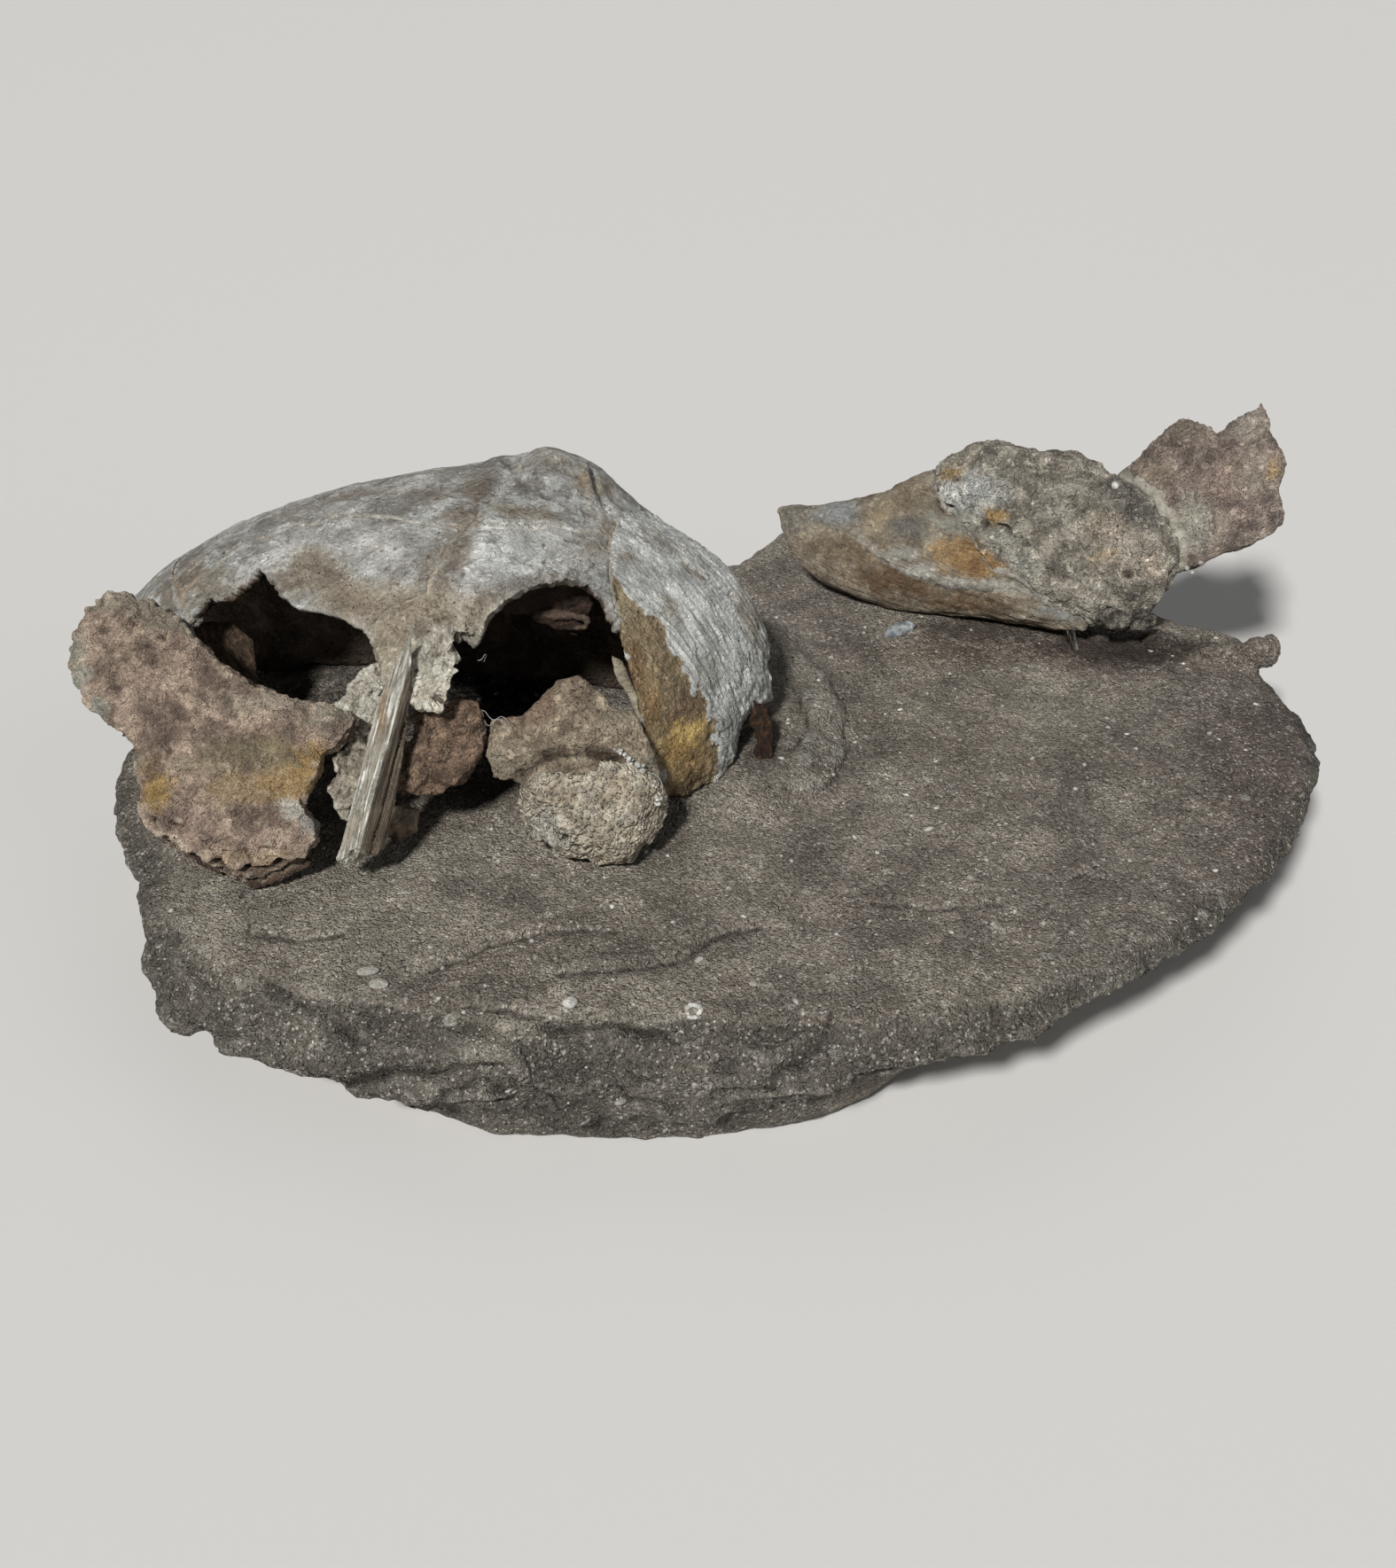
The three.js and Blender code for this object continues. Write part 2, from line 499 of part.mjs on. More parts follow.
const NODULES = {
  grey_nodule: {
    ...JAW, outline: [[14.5, -10], [21.5, -8], [29.5, -10], [31.5, -13], [24.5, -16.5], [16.5, -16.5]],
    front: 5, back: 6, edge: 2, rough: 0.6, rings: 2,
  },
  small_nodule: {
    ...JAW, outline: [[8, -16], [12, -15], [16, -15.5], [16, -18.5], [13.5, -21], [9.5, -19.5]],
    front: 2.5, back: 3, edge: 1.5, rough: 0.4, rings: 2, between: 1,
  },
};

// ---------------------------------------------------------------------------------------------
// Seating the pieces against each other, and the finished group
// ---------------------------------------------------------------------------------------------

const group = new THREE.Group();

function add(name, piece, colour, roughness = 0.9) {
  const material = new THREE.MeshStandardMaterial({ color: colour, roughness, metalness: 0 });
  const mesh = new THREE.Mesh(geometryOf(piece), material);
  mesh.name = name;
  group.add(mesh);
}

// A piece cut back where it meets others; each bed is a neighbour already enlarged by the gap.
function seated(piece, ...beds) {
  return mainBody(beds.reduce((rest, bed) => rest.subtract(bed), piece));
}

const shellBed = bedOf(shell);
const splinter = splinterSolid(SPLINTER);
const splinterBed = bedOf(splinter);
const lumpBed = plate(PALATINE_LUMP, GAP);
const pterygoidBed = plate(PTERYGOID, GAP);
const orbitRockBed = plate(ORBIT_ROCK, GAP);
const dentaryBed = plate(DENTARY, GAP);
const jawRockBed = plate(JAW_ROCK, GAP);

add("matrix_slab", slab, COLOURS.slab, 0.85);
for (const [name, place] of Object.entries(ROOF_BONES)) {
  add(name, nearest(bones, place), BONE_COLOURS[name] ?? COLOURS.roof, 0.75);
}
add("supraoccipital_crest", crest, COLOURS.roof, 0.75);
add("braincase_rock", coreRock, COLOURS.rock);

const sheet = seated(plate(PALATINE_SHEET), splinterBed, maxillaBed, lumpBed, shellBed, rockBed);
const jugalSheet = seated(plate(JUGAL_SHEET), shellBed, pterygoidBed, orbitRockBed);
add("right_maxilla", seated(plate(MAXILLA), rockBed), COLOURS.plate);
add("bone_splinter", seated(splinter, shellBed, rockBed), COLOURS.splinter, 0.7);
add("palatine_lump", seated(plate(PALATINE_LUMP), splinterBed, shellBed), COLOURS.palatine);
add("right_palatine", sheet, COLOURS.bridge);
add("palate_chip", seated(plate(CHIP), splinterBed, rockBed), COLOURS.splinter);
add("left_pterygoid", seated(plate(PTERYGOID), lumpBed, shellBed), COLOURS.palatine);
add("orbit_rock", seated(plate(ORBIT_ROCK), pterygoidBed, shellBed, rockBed), COLOURS.rock);
add("left_jugal_sheet", jugalSheet, COLOURS.splinter);
add("left_quadrate", seated(plate(QUADRATE), shellBed, rockBed), COLOURS.palatine);
add("right_orbit_wall", seated(plate(RIGHT_ORBIT_WALL), shellBed, maxillaBed), COLOURS.bridge);
add("left_orbit_wall", seated(plate(LEFT_ORBIT_WALL), shellBed), COLOURS.palatine);

add("jaw_dentary", seated(plate(DENTARY), rockBed), COLOURS.jaw, 0.7);
add("jaw_rock", seated(plate(JAW_ROCK), dentaryBed, rockBed), COLOURS.rock);
add("jaw_flake", seated(plate(JAW_FLAKE), jawRockBed), COLOURS.flake);
for (const [name, nodule] of Object.entries(NODULES)) {
  add(name, seated(plate(nodule), jawRockBed, dentaryBed, rockBed), COLOURS.rock);
}

// The origin goes to the middle of the underside of the slab.
const box = new THREE.Box3().setFromObject(group);
group.position.set(-(box.min.x + box.max.x) / 2, -(box.min.y + box.max.y) / 2, -box.min.z);

export default group;
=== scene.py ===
import math

import bpy
import numpy as np
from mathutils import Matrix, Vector, noise
from mathutils.kdtree import KDTree


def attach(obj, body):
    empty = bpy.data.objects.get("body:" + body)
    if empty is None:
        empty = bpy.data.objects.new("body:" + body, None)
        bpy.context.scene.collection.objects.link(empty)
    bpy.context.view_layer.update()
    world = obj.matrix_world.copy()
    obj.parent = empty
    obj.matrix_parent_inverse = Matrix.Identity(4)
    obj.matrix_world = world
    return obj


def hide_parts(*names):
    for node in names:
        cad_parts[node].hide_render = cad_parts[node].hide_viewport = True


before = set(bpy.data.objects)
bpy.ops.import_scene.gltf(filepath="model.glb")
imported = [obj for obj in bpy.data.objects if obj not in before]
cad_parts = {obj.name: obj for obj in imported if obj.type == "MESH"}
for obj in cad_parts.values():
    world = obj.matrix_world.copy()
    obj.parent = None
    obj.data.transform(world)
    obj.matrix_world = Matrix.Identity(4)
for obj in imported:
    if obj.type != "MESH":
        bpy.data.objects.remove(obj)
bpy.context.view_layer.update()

# ---- The display table and the studio ----
# A pale painted table under one wide soft light from the left front, a weaker one at the right and one behind.
# The camera looks down on the fossil from the front, as a visitor does.
MM = 0.001
TABLE_COLOUR = (0.6, 0.59, 0.57)
CAMERA_TARGET = (-4.16, -20.88, 30.0)
CAMERA_DISTANCE = 420.0
CAMERA_RISE = math.radians(34.0)
CAMERA_LENS = 44.77
SOFT_LIGHTS = [
    # the side it comes from, strength, width in degrees, colour
    ((-0.38, -0.95, 1.0), 4.1, 7, (1.0, 0.99, 0.975)),
    ((0.95, -0.6, 0.6), 0.42, 50, (0.95, 0.98, 1.0)),
    ((0.1, 0.9, 0.9), 0.25, 60, (1.0, 0.99, 0.97)),
]


def at(x, y, z):
    """A point given in millimetres."""
    return Vector((x, y, z)) * MM


def pick(*pieces):
    """Only these objects are selected, the last of them active."""
    bpy.ops.object.select_all(action="DESELECT")
    for piece in pieces:
        piece.select_set(True)
    bpy.context.view_layer.objects.active = pieces[-1]


def aim(thing, target):
    """Turns a lamp or a camera towards a point."""
    thing.rotation_euler = (target - thing.location).to_track_quat("-Z", "Y").to_euler()


bpy.ops.object.camera_add(
    location=at(CAMERA_TARGET[0], CAMERA_TARGET[1] - CAMERA_DISTANCE * math.cos(CAMERA_RISE),
                CAMERA_TARGET[2] + CAMERA_DISTANCE * math.sin(CAMERA_RISE)))
camera = bpy.context.object
camera.data.lens = CAMERA_LENS
camera.data.sensor_width = 36.0
camera.data.clip_start = 10 * MM
aim(camera, at(*CAMERA_TARGET))
bpy.context.scene.camera = camera

for side, strength, width, colour in SOFT_LIGHTS:
    bpy.ops.object.light_add(type="SUN", location=Vector(side))
    lamp = bpy.context.object
    lamp.data.energy = strength
    lamp.data.angle = math.radians(width)
    lamp.data.color = colour
    aim(lamp, Vector((0, 0, 0)))

world = bpy.data.worlds.new("Studio air")
bpy.context.scene.world = world
world.use_nodes = True
world.node_tree.nodes["Background"].inputs["Color"].default_value = (0.92, 0.95, 1.0, 1)
world.node_tree.nodes["Background"].inputs["Strength"].default_value = 0.075
bpy.context.scene.view_settings.view_transform = "Standard"

bpy.ops.mesh.primitive_plane_add(size=6.0, location=(0, 0, -0.1 * MM))
table = bpy.context.object
table.name = "display_table"
table_paint = bpy.data.materials.new("Table paint")
table_paint.use_nodes = True
table_paint.node_tree.nodes["Principled BSDF"].inputs["Base Color"].default_value = (*TABLE_COLOUR, 1)
table_paint.node_tree.nodes["Principled BSDF"].inputs["Roughness"].default_value = 0.7
table.data.materials.append(table_paint)

# ---- The sandstone slab ----
# A bed of grey-brown sandstone that the skull was found on, with bright quartz grains in it. It splits along
# its layers, so its broken sides are stepped, and a few shallow cracks run over its top.
SLAB_CRACKS = [
    # points, width, depth, wander
    ([(-55.3, -82.4, 29.7), (-49.4, -79.3, 29.8), (-44.1, -75.6, 29.9), (-34.9, -73.1, 30)], 3.0, 1.5, 0.7),
    ([(-34.9, -73.1, 30), (-27, -71.5, 30), (-20, -72.5, 30)], 2.6, 0.8, 0.8),
    ([(-30, -85, 30.2), (-18.5, -83.8, 30.2), (-8.8, -80.6, 30), (-0.5, -74, 29.9), (8, -70, 30)], 2.8, 1.2, 0.7),
    ([(-95.3, -60, 29.6), (-93, -66, 29.6), (-91, -72, 29.6)], 2.4, 1.6, 0.8),
    ([(-91, -72, 29.6), (-82, -75, 29.6), (-73, -73, 29.6)], 3.0, 1.0, 0.9),
    ([(-72.3, -99.4, 29.1), (-59.5, -99.2, 29.5), (-44.8, -102.1, 29.4), (-25.8, -104.7, 29.5), (-6.9, -105.8, 29.4),
      (8.8, -104.4, 29.3), (15.3, -100.1, 29.7), (20, -95.3, 29.8)], 3.8, 3.2, 0.8),
    ([(-58.5, -107.4, 28.8), (-45, -107, 28.5), (-30, -108, 28), (-10, -107.5, 28.5)], 3.4, 2.4, 0.9),
    ([(-50, -93, 29.5), (-38, -96, 29.5), (-24, -97.5, 29.6), (-8, -99, 29.6)], 3.0, 1.5, 1.0),
    ([(71, -54.5, 29.8), (76.5, -50, 29.8)], 2.2, 1.5, 0.4),
    ([(26.5, 22, 32), (29, 12, 32), (30, 0, 32), (28, -12, 32), (22, -24, 32)], 2.4, 1.6, 1.2),
    ([(15, 20, 32), (18, 8, 32), (19, -4, 32), (16, -14, 32)], 2.2, 1.3, 1.2),
    ([(30, -62, 30), (42, -66, 30), (56, -64, 30)], 2.6, 0.7, 1.0),
    ([(-86, -84, 29), (-78, -91, 29), (-66, -95, 29)], 2.6, 1.2, 1.0),
]
SLAB_CRUST = [(20.3, 27.5, 32.5), (23.8, 13.7, 32.3), (25.0, -2.4, 32.5), (23.0, -13, 32.5), (17.5, -22, 32.3)]
SLAB_GRAIN = 1.5  # faces of the first casting
SLAB_FINE_GRAIN = 1.15  # its faces once the edge is broken
SLAB_BED = 5.2  # thickness of one layer
SLAB_STEP = 2.6  # how far a layer steps back
LAYER_WARP = 3.0  # how far the layers rise and fall
RIM_SECTOR = 3  # degrees of the rim that are measured as one
CRUST_REACH = 6.5
CRACK_LIP = 2.6  # from a crack to the lip that it has raised
SPIKE = 0.55  # a point that stands out further is drawn in
SPIKE_ROUNDS = 5
SLAB_BROKEN_EDGE = [
    # turn round the slab in degrees from its right end, width of the broken edge, how far it falls
    (-180, 5, 1.5), (-165, 8, 3.0), (-145, 14, 7.0), (-120, 17, 10), (-95, 16, 10), (-75, 12, 7), (-62, 8, 4.5),
    (-45, 6, 3.5), (-20, 6, 2.5), (0, 6, 2.5), (40, 6, 2.5), (90, 6, 2), (140, 5, 1.5), (180, 5, 1.5),
]


def on_all(work, **settings):
    """One operator of edit mode on the whole of the active piece."""
    bpy.ops.object.mode_set(mode="EDIT")
    bpy.ops.mesh.select_all(action="SELECT")
    work(**settings)
    bpy.ops.object.mode_set(mode="OBJECT")


def even_skin(piece, grain):
    """Makes the skin of a piece anew in small even faces, this wide in millimetres, which fuses what overlaps."""
    skin = piece.modifiers.new("Even skin", "REMESH")
    skin.mode = "VOXEL"
    skin.voxel_size = grain * MM
    pick(piece)
    bpy.ops.object.modifier_apply(modifier=skin.name)


def cast_of(node, name, grain, swell=0.0):
    """A casting of one solid of the frame in small even faces, ready to be carved. Sizes are in millimetres.
    It may be swelled a little, so that it meets its neighbour along the seam."""
    piece = bpy.data.objects.new(name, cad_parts[node].data.copy())
    bpy.context.scene.collection.objects.link(piece)
    piece.data.materials.clear()
    pick(piece)
    on_all(bpy.ops.mesh.remove_doubles, threshold=0.001 * MM)
    even_skin(piece, grain)
    if swell:
        points, normals, _ = skin_of(piece)
        set_skin(piece, points + normals * swell)
    return piece


def skin_of(piece):
    """The points and normals of a piece, in millimetres, and the pairs of points that share an edge."""
    mesh = piece.data
    points = np.empty(len(mesh.vertices) * 3)
    normals = np.empty(len(mesh.vertices) * 3)
    pairs = np.empty(len(mesh.edges) * 2, dtype=np.int64)
    mesh.vertices.foreach_get("co", points)
    mesh.vertex_normals.foreach_get("vector", normals)
    mesh.edges.foreach_get("vertices", pairs)
    return points.reshape(-1, 3) / MM, normals.reshape(-1, 3), pairs.reshape(-1, 2)


def near(points, line, reach):
    """How near each point lies to a line of points: 1 on it, falling to 0 at this reach."""
    gap = np.min(np.linalg.norm(points[:, None] - drawn(line, 0, 0, 2.0)[None], axis=2), axis=1)
    return np.clip(1 - gap / reach, 0, 1)


def set_skin(piece, points):
    """Moves the points of a piece to new places, given in millimetres."""
    piece.data.vertices.foreach_set("co", (points * MM).ravel())
    piece.data.update()


def mask_skin(piece, name, weights, steps=8):
    """Keeps weights of 0 to 1 on the skin, as a group that the modifiers follow."""
    group = piece.vertex_groups.new(name=name)
    levels = np.round(np.clip(weights, 0, 1) * steps).astype(int)
    for level in range(1, steps + 1):
        group.add(np.nonzero(levels == level)[0].tolist(), level / steps, "REPLACE")
    return group.name


def settle(piece, passes, held_turn=28, reach=3):
    """Rubs the flat facets of a casting round. Broken edges, where the skin turns sharply, are held."""
    points, normals, pairs = skin_of(piece)
    turned = (normals[pairs[:, 0]] * normals[pairs[:, 1]]).sum(1) < math.cos(math.radians(held_turn))
    free = np.ones(len(points))
    free[pairs[turned].ravel()] = 0
    for ring in range(reach):
        spread = np.minimum(free[pairs[:, 0]], free[pairs[:, 1]]) + 1 / reach
        np.minimum.at(free, pairs[:, 0], spread)
        np.minimum.at(free, pairs[:, 1], spread)
    rub = piece.modifiers.new("Rub", "SMOOTH")
    rub.factor = 0.5
    rub.iterations = passes
    rub.vertex_group = mask_skin(piece, "open skin", free)
    pick(piece)
    bpy.ops.object.modifier_apply(modifier=rub.name)


def roughen(piece, *coats, along=(0, 0, 1), stretch=1.0, where=None):
    """Presses uneven coats into the skin: each is (size, depth, how fine). They may be drawn out along a direction,
    and kept to a part of the skin."""
    for size, depth, fine in coats:
        texture = bpy.data.textures.new(piece.name, "CLOUDS")
        texture.noise_scale, texture.noise_depth = size, fine
        bpy.ops.object.empty_add(location=(0, 0, 0))
        grain_line = bpy.context.object
        grain_line.rotation_mode = "QUATERNION"
        grain_line.rotation_quaternion = Vector(along).to_track_quat("Z", "Y")
        grain_line.scale = (MM, MM, MM * stretch)
        bpy.context.view_layer.update()
        press = piece.modifiers.new("Press", "DISPLACE")
        press.texture = texture
        press.texture_coords = "OBJECT"
        press.texture_coords_object = grain_line
        press.strength = depth * MM
        press.mid_level = 0.5
        if where is not None:
            press.vertex_group = mask_skin(piece, "part", where)
        pick(piece)
        bpy.ops.object.modifier_apply(modifier=press.name)
        bpy.data.objects.remove(grain_line)


def drawn(line, wander, seed, step=0.8):
    """A line of points made finer, and shaken from side to side as a crack is."""
    chance = np.random.default_rng(seed)
    fine = []
    for start, end in zip(np.array(line[:-1], float), np.array(line[1:], float)):
        count = max(2, int(np.linalg.norm(end - start) / step))
        fine += [start + (end - start) * i / count for i in range(count)]
    fine = np.array(fine + [np.array(line[-1], float)])
    shake = chance.normal(size=fine.shape).cumsum(0)
    shake -= np.linspace(0, 1, len(fine))[:, None] * shake[-1]
    return fine + shake * wander * 0.35


def carve(piece, lines, seed=1):
    """Cuts grooves into the skin: each is (points, width, depth, wander). A depth below 0 raises a ridge. Gives back
    where it has cut."""
    points, normals, _ = skin_of(piece)
    cuts = np.zeros(len(points))
    for number, (line, width, depth, wander) in enumerate(lines):
        path = drawn(line, wander, seed + number)
        beside = np.all((points > path.min(0) - width) & (points < path.max(0) + width), axis=1)
        gap = np.min(np.linalg.norm(points[beside][:, None] - path[None], axis=2), axis=1)
        cut = np.clip(1 - (gap / (width / 2)) ** 2, 0, 1) ** 1.5
        points[beside] -= normals[beside] * (cut * depth)[:, None]
        cuts[beside] = np.maximum(cuts[beside], cut)
    set_skin(piece, points)
    return cuts


def dent(piece, places):
    """Presses hollows into the skin: each is (centre, radius, depth). A depth below 0 raises a knob."""
    points, normals, _ = skin_of(piece)
    for centre, radius, depth in places:
        gap = np.linalg.norm((points - np.array(centre)) / np.array(radius), axis=1)
        points -= normals * (np.clip(1 - gap ** 2, 0, 1) ** 1.5 * depth)[:, None]
    set_skin(piece, points)


def knap(piece, count, radius, depth, seed, where=None):
    """Breaks small flat faces into the skin, as stone and old bone break: so many, this wide and this deep."""
    points, normals, _ = skin_of(piece)
    chance = np.random.default_rng(seed)
    open_skin = np.arange(len(points)) if where is None else np.nonzero(where > 0.4)[0]
    for i in chance.choice(open_skin, count):
        out = normals[i] + chance.normal(size=3) * 0.22
        out /= np.linalg.norm(out)
        size = radius * chance.uniform(0.5, 1.2)
        away = points - points[i]
        proud = away @ out + depth * size / radius
        gap = np.sqrt((away ** 2).sum(1)) / size
        hit = (proud > 0) & (gap < 1)
        points[hit] -= out * (proud[hit] * np.clip(2.2 * (1 - gap[hit]), 0, 1))[:, None]
    set_skin(piece, points)


def note_hollows(piece, spread=2, strength=1.0):
    """Notes on the skin how hollow or how proud it lies at each point."""
    points, normals, pairs = skin_of(piece)
    count = np.bincount(pairs.ravel(), minlength=len(points))[:, None]

    def around(values):
        total = np.zeros_like(values)
        for axis in range(values.shape[1]):
            total[:, axis] = (np.bincount(pairs[:, 0], values[pairs[:, 1], axis], len(values))
                              + np.bincount(pairs[:, 1], values[pairs[:, 0], axis], len(values)))
        return total / count

    smooth = points
    for ring in range(spread):
        smooth = around(smooth)
    hollow = ((smooth - points) * normals).sum(1)[:, None]
    hollow = around(around(hollow))[:, 0]
    note(piece, "hollow", np.clip(0.5 + hollow * strength, 0, 1))


def note(piece, name, values):
    """Keeps one number for each point of the skin, for the material to read."""
    kept = piece.data.attributes.new(name, "FLOAT", "POINT")
    kept.data.foreach_set("value", values.astype(np.float32))


def drop_specks(piece, fewest=40):
    """Deletes specks of skin that have come loose from a piece, of fewer points than this."""
    pairs = skin_of(piece)[2]
    part = np.arange(len(piece.data.vertices))
    while True:
        lowest = part.copy()
        for start, end in (pairs.T, pairs.T[::-1]):
            np.minimum.at(lowest, start, part[end])
        lowest = lowest[lowest]
        if np.array_equal(lowest, part):
            break
        part = lowest
    speck = np.bincount(part, minlength=len(part))[part] < fewest
    if speck.any():
        pick(piece)
        bpy.ops.object.mode_set(mode="EDIT")
        bpy.ops.mesh.select_all(action="DESELECT")
        bpy.ops.object.mode_set(mode="OBJECT")
        piece.data.vertices.foreach_set("select", speck)
        bpy.ops.object.mode_set(mode="EDIT")
        bpy.ops.mesh.delete(type="VERT")
        bpy.ops.object.mode_set(mode="OBJECT")


def place_piece(piece, material, slot, *nodes):
    """Gives a finished piece its material and its place in the frame."""
    if nodes:
        drop_specks(piece)
    piece.vertex_groups.clear()
    piece.data.materials.append(material)
    pick(piece)
    bpy.ops.object.shade_smooth()
    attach(piece, "root")
    if nodes:
        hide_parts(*nodes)


def add_node(tree, kind, inputs=None, **settings):
    """A node with its inputs set or linked, by name or by number."""
    made = tree.nodes.new(kind)
    for name, value in settings.items():
        setattr(made, name, value)
    for name, value in (inputs or {}).items():
        if isinstance(value, bpy.types.NodeSocket):
            tree.links.new(value, made.inputs[name])
        else:
            made.inputs[name].default_value = value
    return made


def sums(tree, operation, first, second=0.0, third=0.0):
    """One sum on two or three numbers."""
    made = add_node(tree, "ShaderNodeMath", {0: first, 1: second}, operation=operation)
    if operation == "MULTIPLY_ADD":
        made.inputs[2].default_value = third
    return made.outputs[0]


def between(tree, value, low, high, out_low=0.0, out_high=1.0):
    """A value taken smoothly from one range to another, and held at its ends."""
    return add_node(tree, "ShaderNodeMapRange", {0: value, 1: low, 2: high, 3: out_low, 4: out_high},
                    interpolation_type="SMOOTHSTEP").outputs[0]


def blend(tree, share, first, second):
    """One colour laid over another by a share of 0 to 1."""
    colours = [c if isinstance(c, bpy.types.NodeSocket) else (*c, 1) for c in (first, second)]
    return add_node(tree, "ShaderNodeMix", {0: share, 6: colours[0], 7: colours[1]}, data_type="RGBA").outputs[2]


def new_group(name, asks, gives):
    """An empty node group: its sockets, its start and its end."""
    group = bpy.data.node_groups.new(name, "ShaderNodeTree")
    for title, kind, value in asks:
        socket = group.interface.new_socket(name=title, in_out="INPUT", socket_type=kind)
        if value is not None:
            socket.default_value = value
    for title in gives:
        group.interface.new_socket(name=title, in_out="OUTPUT", socket_type="NodeSocketFloat")
    return group, group.nodes.new("NodeGroupInput").outputs, group.nodes.new("NodeGroupOutput").inputs


# Sand: round grains of one size, some of them bright quartz and some dark.
SAND, asks, gives = new_group(
    "Sand grains", [("Vector", "NodeSocketVector", None), ("Grains per metre", "NodeSocketFloat", 1600.0)],
    ["Height", "Bright", "Dark"])
grains = add_node(SAND, "ShaderNodeTexVoronoi", {"Vector": asks[0], "Scale": asks[1]})
lots = add_node(SAND, "ShaderNodeSeparateColor", {0: grains.outputs["Color"]})
round_top = between(SAND, grains.outputs["Distance"], 0.75, 0.1)
for socket, value in zip(gives, [
        round_top,
        sums(SAND, "MULTIPLY", between(SAND, lots.outputs[0], 0.86, 0.97), round_top),
        sums(SAND, "MULTIPLY", between(SAND, lots.outputs[1], 0.78, 0.92), round_top)]):
    SAND.links.new(value, socket)

# A stain: a patch round a centre, with a ragged, spotted rim.
STAIN, asks, gives = new_group(
    "Stain patch", [("Vector", "NodeSocketVector", None), ("Centre", "NodeSocketVector", None),
                    ("Size", "NodeSocketVector", (1, 1, 1)), ("Spots per metre", "NodeSocketFloat", 420.0)], ["Mask"])
away = add_node(STAIN, "ShaderNodeVectorMath", {0: asks[0], 1: asks[1]}, operation="SUBTRACT")
away = add_node(STAIN, "ShaderNodeVectorMath", {0: away.outputs[0], 1: asks[2]}, operation="DIVIDE")
away = add_node(STAIN, "ShaderNodeVectorMath", {0: away.outputs[0]}, operation="LENGTH").outputs["Value"]
spots = add_node(STAIN, "ShaderNodeTexNoise", {"Vector": asks[0], "Scale": asks[3], "Detail": 5.0, "Roughness": 0.65})
away = sums(STAIN, "ADD", away, sums(STAIN, "MULTIPLY_ADD", spots.outputs[0], 1.9, -0.95))
STAIN.links.new(between(STAIN, away, 1.25, 0.35), gives[0])

# Pores: small round holes of uneven size, some places full of them and some without.
PORES, asks, gives = new_group(
    "Pores", [("Vector", "NodeSocketVector", None), ("Holes per metre", "NodeSocketFloat", 900.0),
              ("Share", "NodeSocketFloat", 0.4)], ["Mask"])
holes = add_node(PORES, "ShaderNodeTexVoronoi", {"Vector": asks[0], "Scale": asks[1]})
lots = add_node(PORES, "ShaderNodeSeparateColor", {0: holes.outputs["Color"]})
open_here = between(PORES, sums(PORES, "SUBTRACT", lots.outputs[0], asks[2]), 0.08, -0.08)
gap = sums(PORES, "DIVIDE", holes.outputs["Distance"], sums(PORES, "MULTIPLY_ADD", lots.outputs[1], 0.25, 0.12))
PORES.links.new(sums(PORES, "MULTIPLY", between(PORES, gap, 1.2, 0.6), open_here), gives[0])

# Fine cracks: the edges of large shaken cells, broken up so that only parts of them show.
CRACKS, asks, gives = new_group(
    "Fine cracks", [("Vector", "NodeSocketVector", None), ("Cells per metre", "NodeSocketFloat", 90.0),
                    ("Width", "NodeSocketFloat", 0.03)], ["Mask"])
shake = add_node(CRACKS, "ShaderNodeTexNoise", {"Vector": asks[0], "Scale": 260.0, "Detail": 4.0})
shake = add_node(CRACKS, "ShaderNodeVectorMath", {0: shake.outputs["Color"], 3: 0.008}, operation="SCALE")
shaken = add_node(CRACKS, "ShaderNodeVectorMath", {0: asks[0], 1: shake.outputs[0]}, operation="ADD")
cells = add_node(CRACKS, "ShaderNodeTexVoronoi", {"Vector": shaken.outputs[0], "Scale": asks[1]},
                 feature="DISTANCE_TO_EDGE")
edge = between(CRACKS, sums(CRACKS, "DIVIDE", cells.outputs["Distance"], asks[2]), 1.0, 0.3)
shown = add_node(CRACKS, "ShaderNodeTexNoise", {"Vector": asks[0], "Scale": 45.0, "Detail": 2.0}).outputs[0]
CRACKS.links.new(sums(CRACKS, "MULTIPLY", edge, between(CRACKS, shown, 0.47, 0.6)), gives[0])

# Wrinkles: fine winding lines in weathered bone, in some places only.
WRINKLES, asks, gives = new_group(
    "Wrinkles", [("Vector", "NodeSocketVector", None), ("Lines per metre", "NodeSocketFloat", 260.0),
                 ("Width", "NodeSocketFloat", 0.018)], ["Mask"])
field = add_node(WRINKLES, "ShaderNodeTexNoise", {
    "Vector": asks[0], "Scale": asks[1], "Detail": 5.0, "Roughness": 0.62})
field = sums(WRINKLES, "ABSOLUTE", sums(WRINKLES, "SUBTRACT", field.outputs[0], 0.5))
field = between(WRINKLES, sums(WRINKLES, "DIVIDE", field, asks[2]), 1.0, 0.2)
shown = add_node(WRINKLES, "ShaderNodeTexNoise", {"Vector": asks[0], "Scale": 70.0, "Detail": 2.0}).outputs[0]
WRINKLES.links.new(sums(WRINKLES, "MULTIPLY", field, between(WRINKLES, shown, 0.42, 0.58)), gives[0])


